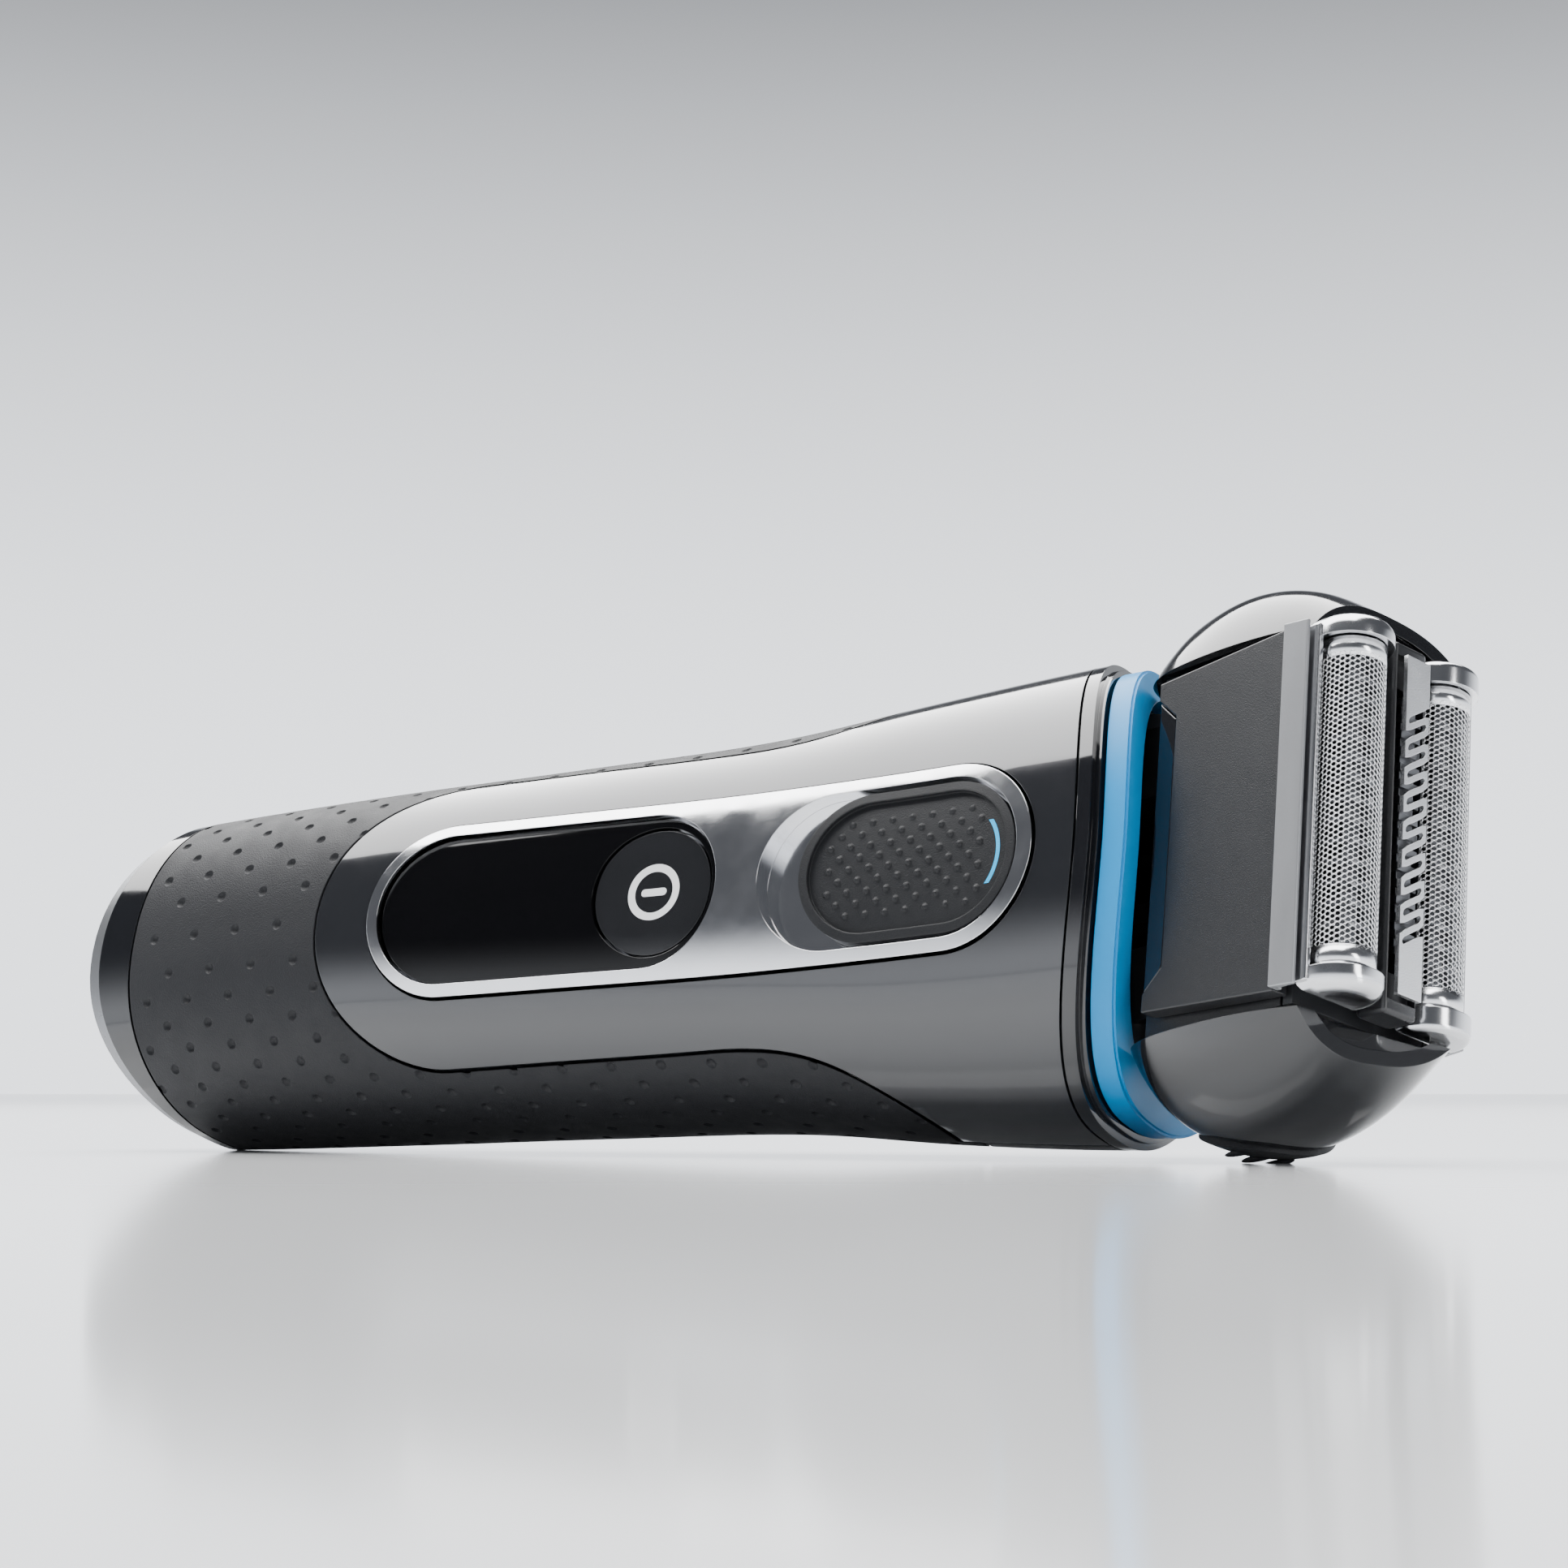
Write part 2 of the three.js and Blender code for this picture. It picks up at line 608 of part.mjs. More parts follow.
function cassetteFrame() {
  const { start, end, halfWidth, halfDepth, well } = cassette;
  const base = block([start, -halfWidth, -halfDepth], [end, halfWidth, halfDepth]);
  const wells = [rows.front.z, 0, rows.rear.z].map((z) =>
    block([start - 1, -foil.halfLength + 1, z - well], [end + 1, foil.halfLength - 1, z + well]),
  );
  return wells.reduce((body, hole) => body.subtract(hole), base);
}

// Outline of one foil's arch as (x, z), as a band of the given thickness or a full form.
function archOutline({ z, drop }, radius, skin) {
  const s = new THREE.Shape();
  const foot = foilFrame.start + foilFrame.foot;
  const spring = foil.springLine - drop;
  s.moveTo(foot, z - radius);
  s.lineTo(spring, z - radius);
  s.absarc(spring, z, radius, -Math.PI / 2, Math.PI / 2);
  s.lineTo(foot, z + radius);
  if (skin) {
    s.lineTo(foot, z + radius - skin);
    s.lineTo(spring, z + radius - skin);
    s.absarc(spring, z, radius - skin, Math.PI / 2, -Math.PI / 2, true);
    s.lineTo(foot, z - radius + skin);
  }
  s.closePath();
  return s;
}

const foilSheet = (row) =>
  across(archOutline(row, foil.radius, foil.skin), -foil.halfLength, foil.halfLength, 14);

// The frame holds the foil's long edges and closes its two ends with a domed cap.
function foilCarrier(row) {
  const r = foil.radius + gap;
  const length = foil.halfLength + foilFrame.endLength;
  const top = foil.springLine - row.drop - 0.4;
  const side = (sign) => {
    const a = row.z + sign * r;
    const b = row.z + sign * (r + foilFrame.wall);
    return block([foilFrame.start, -length, Math.min(a, b)], [top, length, Math.max(a, b)]);
  };
  const cap = archOutline(row, r + foilFrame.wall * 0.6, 0);
  const foilEnd = foil.halfLength + gap;
  const ends = across(cap, foilEnd, length, 12).add(across(cap, -length, -foilEnd, 12));
  return side(-1).add(side(1)).add(ends);
}

// The cutter under a foil: a spine with a row of half-round blades.
function cutterBlock({ z, drop }) {
  const spring = foil.springLine - drop;
  const foot = spring - 0.7;
  const spine = block([foot, -cutter.halfLength, z - 1], [spring + 0.6, cutter.halfLength, z + 1]);
  const step = (2 * cutter.halfLength - cutter.blade) / (cutter.blades - 1);
  const s = new THREE.Shape();
  s.moveTo(foot, z - cutter.radius);
  s.lineTo(spring, z - cutter.radius);
  s.absarc(spring, z, cutter.radius, -Math.PI / 2, Math.PI / 2);
  s.lineTo(foot, z + cutter.radius);
  s.closePath();
  const blades = Array.from({ length: cutter.blades }, (_, i) => {
    const y = -cutter.halfLength + i * step;
    return across(s, y, y + cutter.blade, 5);
  });
  return blades.reduce((body, blade) => body.add(blade), spine);
}

// Middle trimmer: frame, fixed guard with slanting fingers, and the comb that moves under it.
function middleFrame() {
  const { halfWidth, halfLength, top } = middle;
  const edge = halfWidth + middle.rim;
  const form = block([foilFrame.start, -halfLength - 1.4, -edge], [top - 1, halfLength + 1.4, edge]);
  const wellEnd = halfLength - 3;
  const well = block([foilFrame.start - 1, -wellEnd, -halfWidth], [top + 1, wellEnd, halfWidth]);
  const seat = block([top - 2, -halfLength, -halfWidth], [top + 1, halfLength, halfWidth]);
  return form.subtract(well).subtract(seat);
}

function middleGuard() {
  const { halfLength, top, guard, fingers, endPlate } = middle;
  const w = middle.halfWidth - gap;
  const l = halfLength - gap;
  const form = block([top - guard, -l, -w], [top, l, w]);
  const pitch = (2 * (l - endPlate)) / fingers;
  const slot = (i, sign) => {
    const y = -l + endPlate + pitch * (i + (sign > 0 ? 0.25 : 0.75));
    const g = new THREE.BoxGeometry(3, pitch * 0.3, w * 1.25);
    g.rotateX(0.45);
    return solid(g.translate(top - guard / 2, y, sign * w * 0.62));
  };
  const slots = Array.from({ length: fingers }, (_, i) => [slot(i, 1), slot(i, -1)]).flat();
  return slots.reduce((body, cut) => body.subtract(cut), form);
}

function middleComb() {
  const { top, guard } = middle;
  const z = middle.halfWidth - 0.6;
  const high = top - guard - gap;
  const length = middle.halfLength - 4.4;
  const spine = block([high - comb.tooth - comb.spine, -length, -1], [high - comb.tooth / 2, length, 1]);
  const step = (2 * length - comb.tooth) / (comb.teeth - 1);
  const teeth = Array.from({ length: comb.teeth }, (_, i) => {
    const y = -length + i * step;
    return block([high - comb.tooth, y, -z], [high, y + comb.tooth, z]);
  });
  return teeth.reduce((body, tooth) => body.add(tooth), spine);
}

// Drive bridge in the head: it carries the strokes of the crank to all three cutters.
function driveBridge() {
  const { deck: thickness, half, arm, armStart, low, high, postHalf, spacing } = bridge;
  const deckX = headCore.end - 5;
  const deck = block([deckX, -half, -half], [deckX + thickness, half, half]);
  const slot = eccentric.offset + eccentric.pinRadius + cutter.stroke + gap;
  const fork = [slot, -slot - arm].map((y) => block([armStart, y, low], [deckX + 0.5, y + arm, high]));
  const postTop = foilFrame.start - foil.float;
  const posts = [-spacing, 0, spacing].map((z) =>
    block([deckX + 1, -1, z - postHalf], [postTop, 1, z + postHalf]),
  );
  return [...fork, ...posts].reduce((body, piece) => body.add(piece), deck);
}

// ---------------------------------------------------------------- assembly

const inHandle = new THREE.Group();
const inHead = new THREE.Group();
inHead.position.set(pivotX, 0, 0);
inHead.rotation.y = -THREE.MathUtils.degToRad(headPitch);

function add(group, name, shape, finish) {
  const mesh = new THREE.Mesh(geometryOf(shape), finish);
  mesh.name = name;
  group.add(mesh);
}

add(inHandle, "front_cover", frontCover(), gunmetal);
add(inHandle, "rear_cover", rearCover(), satinBlack);
add(inHandle, "rubber_grip", rubberGrip(), gripRubber);
add(inHandle, "end_cap", endCap(), glossBlack);
add(inHandle, "end_trim", endTrim(), satinGrey);
add(inHandle, "charging_socket", socketBody(), satinBlack);
add(inHandle, "socket_pin_left", socketPin(-1), brass);
add(inHandle, "socket_pin_right", socketPin(1), brass);
add(inHandle, "neck_collar", neckBand(coverEnd + gap, collarEnd, 0), glossBlack);
add(inHandle, "accent_ring", neckBand(collarEnd + gap, ringEnd, 1.2), accentCyan);
add(inHandle, "bezel_frame", bezelFrame(), chrome);
add(inHandle, "display_window", displayWindow(), glossBlack);
add(inHandle, "power_button", powerButton(), glossBlack);
add(inHandle, "lock_slider", lockSlider(), satinBlack);
add(inHandle, "battery_cell", batteryCell(), cellBlue);
add(inHandle, "inner_chassis", chassisTray(), innerPlastic);
add(inHandle, "circuit_board", circuitBoard(), boardGreen);
add(inHandle, "button_switch", buttonSwitch(), innerPlastic);
add(inHandle, "drive_motor", driveMotor(), satinSilver);
add(inHandle, "motor_crank", crank(), brass);
add(inHandle, "trimmer_carriage", trimmerCarriage(), glossBlack);
add(inHandle, "trimmer_fixed_blade", trimmerBlade(trimmer.floorZ - bladeDepth.fixed, 0), bladeSteel);
const movingBlade = trimmerBlade(trimmer.floorZ - bladeDepth.moving, trimmerTooth.lead);
add(inHandle, "trimmer_moving_blade", movingBlade, bladeSteel);
add(inHandle, "pivot_yoke", pivotYoke(), innerPlastic);
add(inHandle, "pivot_pin_left", pivotPinSide(-1), bladeSteel);
add(inHandle, "pivot_pin_right", pivotPinSide(1), bladeSteel);

add(inHead, "head_core", headCoreBody(), satinBlack);
add(inHead, "side_cover_left", headSideCover(-1), glossBlack);
add(inHead, "side_cover_right", headSideCover(1), glossBlack);
add(inHead, "front_panel", headPanel(true), panelGrey);
add(inHead, "rear_panel", headPanel(false), panelGrey);
add(inHead, "front_trim_strip", headTrimStrip(true), satinGrey);
add(inHead, "rear_trim_strip", headTrimStrip(false), satinGrey);
add(inHead, "release_button_left", releaseButton(-1), gripRubber);
add(inHead, "release_button_right", releaseButton(1), gripRubber);
add(inHead, "drive_bridge", driveBridge(), innerPlastic);
add(inHead, "cassette_frame", cassetteFrame(), satinGrey);
for (const [place, row] of Object.entries(rows)) {
  add(inHead, `foil_${place}`, foilSheet(row), foilSteel);
  add(inHead, `foil_frame_${place}`, foilCarrier(row), satinSilver);
  add(inHead, `cutter_${place}`, cutterBlock(row), bladeSteel);
}
add(inHead, "middle_frame", middleFrame(), satinBlack);
add(inHead, "middle_guard", middleGuard(), foilSteel);
add(inHead, "middle_comb", middleComb(), bladeSteel);

const shaver = new THREE.Group();
shaver.add(inHandle, inHead);

// Lay the shaver on its side, front face outwards and tipped a little back, and put the origin
// on the shelf under the middle of its box.
const side = new THREE.Group();
shaver.rotation.x = THREE.MathUtils.degToRad(lyingRoll);
side.add(shaver);
side.rotation.y = -THREE.MathUtils.degToRad(lyingPitch);
const lying = new THREE.Group();
lying.add(side);
const box = new THREE.Box3().setFromObject(lying, true);
side.position.set(-(box.min.x + box.max.x) / 2, -(box.min.y + box.max.y) / 2, -box.min.z);

export default lying;
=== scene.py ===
# Cordless foil shaver lying on its side on a pale surface, with its controls facing out and its
# foil head at the right. Every piece is shaped in the shaver's own axes, in millimetres: X runs
# from the base to the head, Y across the width, Z through the thickness with the controls at +Z.
import math

import bmesh
import bpy
from mathutils import Matrix, Vector


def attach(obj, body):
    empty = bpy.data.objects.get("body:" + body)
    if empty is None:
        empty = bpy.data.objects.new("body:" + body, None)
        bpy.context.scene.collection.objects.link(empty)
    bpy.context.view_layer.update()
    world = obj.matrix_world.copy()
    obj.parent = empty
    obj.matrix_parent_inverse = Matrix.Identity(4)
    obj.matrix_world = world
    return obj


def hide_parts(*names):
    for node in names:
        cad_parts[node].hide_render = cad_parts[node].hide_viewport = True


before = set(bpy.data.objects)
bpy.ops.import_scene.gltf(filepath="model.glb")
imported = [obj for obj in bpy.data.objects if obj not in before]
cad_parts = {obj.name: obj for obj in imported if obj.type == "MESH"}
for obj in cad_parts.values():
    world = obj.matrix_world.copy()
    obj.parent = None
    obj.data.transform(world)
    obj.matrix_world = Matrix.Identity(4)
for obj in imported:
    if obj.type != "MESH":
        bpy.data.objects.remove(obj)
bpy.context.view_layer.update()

# ---------------------------------------------------------------- how the shaver lies
# The shaver rests on its side, rolled back so that the front looks a little upwards, and tipped
# up towards the wider head. The head hangs on a pivot in the neck and is pitched forward.

lying_roll = math.radians(72.6)
lying_pitch = math.radians(3.2)
base_centre = Vector((-0.0816775, 0.002816, 0.018758))
pivot_x = 126.4
head_pitch = math.radians(22)

handle_axes = (
    Matrix.Translation(base_centre)
    @ Matrix.Rotation(-lying_pitch, 4, "Y")
    @ Matrix.Rotation(lying_roll, 4, "X")
    @ Matrix.Scale(0.001, 4)
)

# ---------------------------------------------------------------- rubber grip
# Soft charcoal rubber moulded over the housing. It wraps the base end, the sides and the back,
# and is moulded with staggered rows of small round dimples.

gap = 0.3
wall = 2.2
handle = {
    "stations": (0, 14, 38, 62, 87, 105, 118, 134),
    "half_widths": (18.8, 19.3, 19.9, 20.4, 21.2, 23.2, 24.3, 25.2),
    "fronts": (15.6, 16.7, 17.5, 17, 16.5, 17.1, 18.2, 20),
    "backs": (15, 15.8, 16.5, 16.9, 17.5, 18.4, 19.2, 19.8),
    "fullness": 2.45,
}
cap_end = 7
cover_end = 127.2
collar_end = 129.7
ring_end = 132.6
reach = 60


def size_at(form, name, x):
    """A smooth curve through a form's sizes, level beyond its two ends."""
    stations = form["stations"]
    values = form[name]
    if x <= stations[0]:
        return values[0]
    if x >= stations[-1]:
        return values[-1]
    i = max(k for k in range(len(stations) - 1) if stations[k] <= x)
    before = i - 1 if i > 0 else i + 1
    after = i + 2 if i + 2 < len(stations) else i
    step = stations[i + 1] - stations[i]
    pull_before = step / 2 / (stations[i] - stations[before])
    pull_after = step / 2 / (stations[after] - stations[i + 1])
    p = (x - stations[i]) / step
    weight_before = -pull_before * p**3 + 2 * pull_before * p**2 - pull_before * p
    weight_low = (1 + pull_before) * p**3 + (-1.5 - 2 * pull_before) * p**2 + (pull_before - 0.5) * p + 1
    weight_high = (-1 - pull_after) * p**3 + (1.5 + pull_after) * p**2 + 0.5 * p
    weight_after = pull_after * p**3 - pull_after * p**2
    return (
        weight_before * values[before]
        + weight_low * values[i]
        + weight_high * values[i + 1]
        + weight_after * values[after]
    )


def on_form(form, x, angle, inset=0.0):
    """The point of a rounded form at one station and one angle round it."""
    power = 2 / form["fullness"]
    c, s = math.cos(angle), math.sin(angle)
    depth = size_at(form, "fronts" if s > 0 else "backs", x) - inset
    width = size_at(form, "half_widths", x) - inset
    return Vector((x, width * math.copysign(abs(c) ** power, c), depth * math.copysign(abs(s) ** power, s)))


def rounded_form(form, inset, start, end, sides=200, rows=90):
    """A closed rounded form along X: a ring of points extruded row by row."""
    bm = bmesh.new()
    ring = bmesh.ops.create_circle(bm, segments=sides, radius=1)["verts"]
    for i, vert in enumerate(ring):
        vert.co = on_form(form, start, 2 * math.pi * i / sides, inset)
    edges = list(bm.edges)
    first = list(edges)
    for row in range(rows):
        low = start + (end - start) * row / rows
        high = start + (end - start) * (row + 1) / rows
        made = bmesh.ops.extrude_edge_only(bm, edges=edges)["geom"]
        edges = [g for g in made if isinstance(g, bmesh.types.BMEdge)]
        for vert in (g for g in made if isinstance(g, bmesh.types.BMVert)):
            side = "fronts" if vert.co.z > 0 else "backs"
            wide = [size_at(form, "half_widths", x) - inset for x in (low, high)]
            deep = [size_at(form, side, x) - inset for x in (low, high)]
            vert.co = Vector((high, vert.co.y * wide[1] / wide[0], vert.co.z * deep[1] / deep[0]))
    bmesh.ops.contextual_create(bm, geom=first)
    bmesh.ops.contextual_create(bm, geom=edges)
    bmesh.ops.recalc_face_normals(bm, faces=bm.faces)
    return bm


def slab(outline, low, high, along="z"):
    """A flat outline extruded between two heights, along Z or, for (x, z) outlines, along Y."""
    bm = bmesh.new()
    place = (lambda a, b: (a, b, low)) if along == "z" else (lambda a, b: (a, low, b))
    face = bm.faces.new([bm.verts.new(place(a, b)) for a, b in outline])
    made = bmesh.ops.extrude_face_region(bm, geom=[face])["geom"]
    move = (0, 0, high - low) if along == "z" else (0, high - low, 0)
    bmesh.ops.translate(bm, vec=move, verts=[g for g in made if isinstance(g, bmesh.types.BMVert)])
    bmesh.ops.recalc_face_normals(bm, faces=bm.faces)
    return bm


def block(low, high):
    """A box between two corners."""
    bm = bmesh.new()
    bmesh.ops.create_cube(bm, size=1)
    middle = [(a + b) / 2 for a, b in zip(low, high)]
    size = [b - a for a, b in zip(low, high)]
    bmesh.ops.scale(bm, vec=size, verts=bm.verts)
    bmesh.ops.translate(bm, vec=middle, verts=bm.verts)
    return bm


def combine(work, tool, operation):
    """Cuts, keeps or joins one solid with another. Both are used up."""
    holders = []
    for bm in (work, tool):
        mesh = bpy.data.meshes.new("in_work")
        bm.to_mesh(mesh)
        bm.free()
        holder = bpy.data.objects.new("in_work", mesh)
        bpy.context.scene.collection.objects.link(holder)
        holders.append(holder)
    modifier = holders[0].modifiers.new("combine", "BOOLEAN")
    modifier.operation = operation
    modifier.object = holders[1]
    modifier.solver = "MANIFOLD"
    made = bpy.data.meshes.new_from_object(
        holders[0].evaluated_get(bpy.context.evaluated_depsgraph_get())
    )
    result = bmesh.new()
    result.from_mesh(made)
    bpy.data.meshes.remove(made)
    for holder in holders:
        mesh = holder.data
        bpy.data.objects.remove(holder)
        bpy.data.meshes.remove(mesh)
    return result


def cut(work, tool):
    return combine(work, tool, "DIFFERENCE")


def within(work, tool):
    return combine(work, tool, "INTERSECT")


def joined(work, tool):
    return combine(work, tool, "UNION")


def bowed(start, control, end, steps=24):
    """Points of one bowed seam, from start towards control and on to end."""
    points = []
    for i in range(steps + 1):
        t = i / steps
        points.append(
            tuple((1 - t) ** 2 * a + 2 * t * (1 - t) * b + t**2 * c for a, b, c in zip(start, control, end))
        )
    return points


def seam_zone(low, low_bow, high, high_bow, half):
    """The space between two bowed seams, as seen from the front."""
    high_side = bowed((high - high_bow, -half), (high + high_bow, 0), (high - high_bow, half))
    low_side = bowed((low - low_bow, half), (low + low_bow, 0), (low - low_bow, -half))
    outline = [(low - low_bow, -reach), (high - high_bow, -reach), *high_side]
    outline += [(high - high_bow, reach), (low - low_bow, reach), *low_side]
    return slab(outline, -reach, reach)


base_half = 19.4
neck_half = 25
trim_bow = 8
grip_bow = 4.2
neck_bow = 4


def middle_zone():
    """Between the end cap's seam and the neck collar's seam."""
    high_side = bowed((cover_end - neck_bow, -neck_half), (cover_end + neck_bow, 0), (cover_end - neck_bow, neck_half))
    low = cap_end + gap
    low_side = bowed((low + grip_bow, base_half), (low - grip_bow, 0), (low + grip_bow, -base_half))
    outline = [(low + grip_bow, -reach), (cover_end - neck_bow, -reach), *high_side]
    outline += [(cover_end - neck_bow, reach), (low + grip_bow, reach), *low_side]
    return slab(outline, -reach, reach)


cover = {"start": 34.5, "half_width": 16.6, "flare_start": 84, "flare_end": 119, "low_edge": -2.5}


def arc(centre, radius, start, end, steps):
    """Points along a circle's arc, angles in degrees."""
    return [
        (
            centre[0] + radius * math.cos(math.radians(start + (end - start) * i / steps)),
            centre[1] + radius * math.sin(math.radians(start + (end - start) * i / steps)),
        )
        for i in range(steps + 1)
    ]


def swung(a, b, c, d, steps=30):
    """Points of a cubic curve with its two end points and two pulls."""
    points = []
    for i in range(steps + 1):
        t = i / steps
        k = ((1 - t) ** 3, 3 * t * (1 - t) ** 2, 3 * t**2 * (1 - t), t**3)
        points.append(tuple(sum(w * p[j] for w, p in zip(k, (a, b, c, d))) for j in (0, 1)))
    return points


def cover_tool(grow):
    """The front cover's region: a round-ended tongue that flares out to the neck."""
    h = cover["half_width"] + grow
    start = cover["start"] - grow
    s, e = cover["flare_start"], cover["flare_end"]
    m = (s + e) / 2
    outline = swung((s, -h), (m, -h), (m, -h - 6), (e, -h - 12))
    outline += [(reach * 3, -h - 12), (reach * 3, h + 12)]
    outline += swung((e, h + 12), (m, h + 6), (m, h), (s, h))
    outline += arc((start + h, 0), h, 90, 270, 48)
    return slab(outline, cover["low_edge"] - grow, reach)


trimmer = {"start": 76, "end": 123, "half_width": 11.5, "floor_z": -16}


def rear_tool(grow):
    """The rear cover's region, round the long-hair trimmer."""
    h = trimmer["half_width"] + 4 + grow
    start = trimmer["start"] - 9 - grow
    end = trimmer["end"]
    outline = [(end - 24, -h), (end - 6, -h - 14), (reach * 3, -h - 14), (reach * 3, h + 14)]
    outline += [(end - 6, h + 14), (end - 24, h)]
    outline += arc((start + h, 0), h, 90, 270, 40)
    return slab(outline, -reach, cover["low_edge"] - gap + grow)


def shell():
    """The handle's hollow housing form."""
    outside = rounded_form(handle, 0, 0, ring_end + 1)
    inside = rounded_form(handle, wall, -1, ring_end + 2, sides=120, rows=40)
    return cut(outside, inside)


def dimples():
    """Small balls that stand in the grip's surface: staggered rows round the body."""
    ball_form = bmesh.new()
    bmesh.ops.create_uvsphere(ball_form, u_segments=12, v_segments=6, radius=0.78)
    ball = bpy.data.meshes.new("dimple_ball")
    ball_form.to_mesh(ball)
    ball_form.free()
    bm = bmesh.new()
    pitch = 3.05
    around = 20
    for row in range(37):
        for k in range(around):
            angle = 2 * math.pi * (k + (0.5 if row % 2 else 0)) / around
            here = on_form(handle, 10.5 + row * pitch, angle, -0.42)
            ball.transform(Matrix.Translation(here))
            bm.from_mesh(ball)
            ball.transform(Matrix.Translation(-here))
    bpy.data.meshes.remove(ball)
    return bm


shaped = []


def place(work, name, axes, body, material, slot, stands_for=(), crease=32):
    """Turns a finished solid into a piece of the shaver, lying where it belongs."""
    bmesh.ops.dissolve_degenerate(work, dist=1e-4, edges=work.edges)
    bmesh.ops.transform(work, matrix=axes, verts=work.verts)
    mesh = bpy.data.meshes.new(name)
    work.to_mesh(mesh)
    work.free()
    mesh.shade_smooth()
    mesh.set_sharp_from_angle(angle=math.radians(crease))
    mesh.materials.append(material)
    obj = bpy.data.objects.new(name, mesh)
    bpy.context.scene.collection.objects.link(obj)
    shaped.append(obj)
    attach(obj, body)
    if stands_for:
        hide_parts(*stands_for)
    return obj


def finish(
    name, colour, roughness, axes=handle_axes, metallic=0.0, coat=0.0, mottle=0.08, smudge=0.1,
    grain=0.0, grain_size=0.5, edge=0.12, stretch=(1, 1, 1), specular=0.5,
):
    """A moulded, plated or ground surface: broad and fine variation of its colour and gloss, a
    fine grain in its relief, and softened edges. All of it follows the shaver's own axes."""
    material = bpy.data.materials.new(name)
    material.use_nodes = True
    nodes, links = material.node_tree.nodes, material.node_tree.links
    bsdf = nodes["Principled BSDF"]
    bsdf.inputs["Metallic"].default_value = metallic
    bsdf.inputs["Specular IOR Level"].default_value = specular
    bsdf.inputs["Coat Weight"].default_value = coat
    bsdf.inputs["Coat Roughness"].default_value = 0.03
    coordinates = nodes.new("ShaderNodeTexCoord")
    mapping = nodes.new("ShaderNodeMapping")
    mapping.name = "in_shaver_axes"
    mapping.vector_type = "TEXTURE"
    where, turn, scale = axes.decompose()
    mapping.inputs["Location"].default_value = where
    mapping.inputs["Rotation"].default_value = turn.to_euler()
    mapping.inputs["Scale"].default_value = [s * k for s, k in zip(scale, stretch)]
    links.new(coordinates.outputs["Object"], mapping.inputs["Vector"])

    def noise(size, detail):
        made = nodes.new("ShaderNodeTexNoise")
        made.inputs["Scale"].default_value = 1 / size
        made.inputs["Detail"].default_value = detail
        links.new(mapping.outputs["Vector"], made.inputs["Vector"])
        return made.outputs["Fac"]

    tone = nodes.new("ShaderNodeMix")
    tone.name = "tone"
    tone.data_type = "RGBA"
    tone.inputs["A"].default_value = (*[c * (1 - mottle) for c in colour], 1)
    tone.inputs["B"].default_value = (*[min(1, c * (1 + mottle)) for c in colour], 1)
    links.new(noise(7, 4), tone.inputs["Factor"])
    links.new(tone.outputs["Result"], bsdf.inputs["Base Color"])
    gloss = nodes.new("ShaderNodeMapRange")
    gloss.name = "gloss"
    gloss.inputs["From Min"].default_value = 0.3
    gloss.inputs["From Max"].default_value = 0.7
    gloss.inputs["To Min"].default_value = roughness * (1 - smudge)
    gloss.inputs["To Max"].default_value = roughness * (1 + smudge)
    links.new(noise(3.1, 5), gloss.inputs["Value"])
    links.new(gloss.outputs["Result"], bsdf.inputs["Roughness"])
    rounded = nodes.new("ShaderNodeBevel")
    rounded.samples = 4
    rounded.inputs["Radius"].default_value = edge * 0.001
    relief = nodes.new("ShaderNodeBump")
    relief.name = "relief"
    relief.inputs["Strength"].default_value = grain
    relief.inputs["Distance"].default_value = 0.0001
    links.new(noise(grain_size, 2), relief.inputs["Height"])
    links.new(rounded.outputs["Normal"], relief.inputs["Normal"])
    links.new(relief.outputs["Normal"], bsdf.inputs["Normal"])
    return material


rubber = finish("charcoal_rubber", (0.011, 0.0115, 0.0135), 0.52, specular=0.28, mottle=0.12, grain=0.5, grain_size=0.16, edge=0.2)
grip = within(cut(cut(shell(), cover_tool(gap)), rear_tool(gap)), middle_zone())
grip = cut(grip, dimples())
place(grip, "grip", handle_axes, "handle", rubber, "grip_rubber", ["rubber_grip"])

# ---------------------------------------------------------------- end cap and trim
# Polished black cap closing the base, with a thin satin grey trim pressed over its end. Both are
# cut out round the charging socket.

trim_end = 1.8
socket = {"width": 9, "height": 7, "depth": 10.5, "wall": 1.2}


def socket_hole(grow):
    w, h = socket["width"] / 2 + grow, socket["height"] / 2 + grow
    return block((-2, -w, -h), (socket["depth"] + grow, w, h))


def base_zone(low, low_bow, high, high_bow):
    high_side = bowed((high + high_bow, -base_half), (high - high_bow, 0), (high + high_bow, base_half))
    low_side = bowed((low + low_bow, base_half), (low - low_bow, 0), (low + low_bow, -base_half))
    outline = [(low + low_bow, -reach), (high + high_bow, -reach), *high_side]
    outline += [(high + high_bow, reach), (low + low_bow, reach), *low_side]
    return slab(outline, -reach, reach)


gloss_black = finish("polished_black", (0.006, 0.0065, 0.008), 0.07, mottle=0.1, smudge=0.3, coat=0.6, grain=0.02, grain_size=2.2)
cap_form = within(rounded_form(handle, 0, 0, 20, rows=30), base_zone(trim_end + gap, trim_bow, cap_end, grip_bow))
lip = within(
    rounded_form(handle, wall + gap, 0, 20, sides=120, rows=10),
    base_zone(trim_end + gap, trim_bow, cap_end + 3, grip_bow),
)
cap = cut(joined(cap_form, lip), socket_hole(socket["wall"] + gap))
place(cap, "end_cap_shell", handle_axes, "handle", gloss_black, "gloss_black", ["end_cap"])

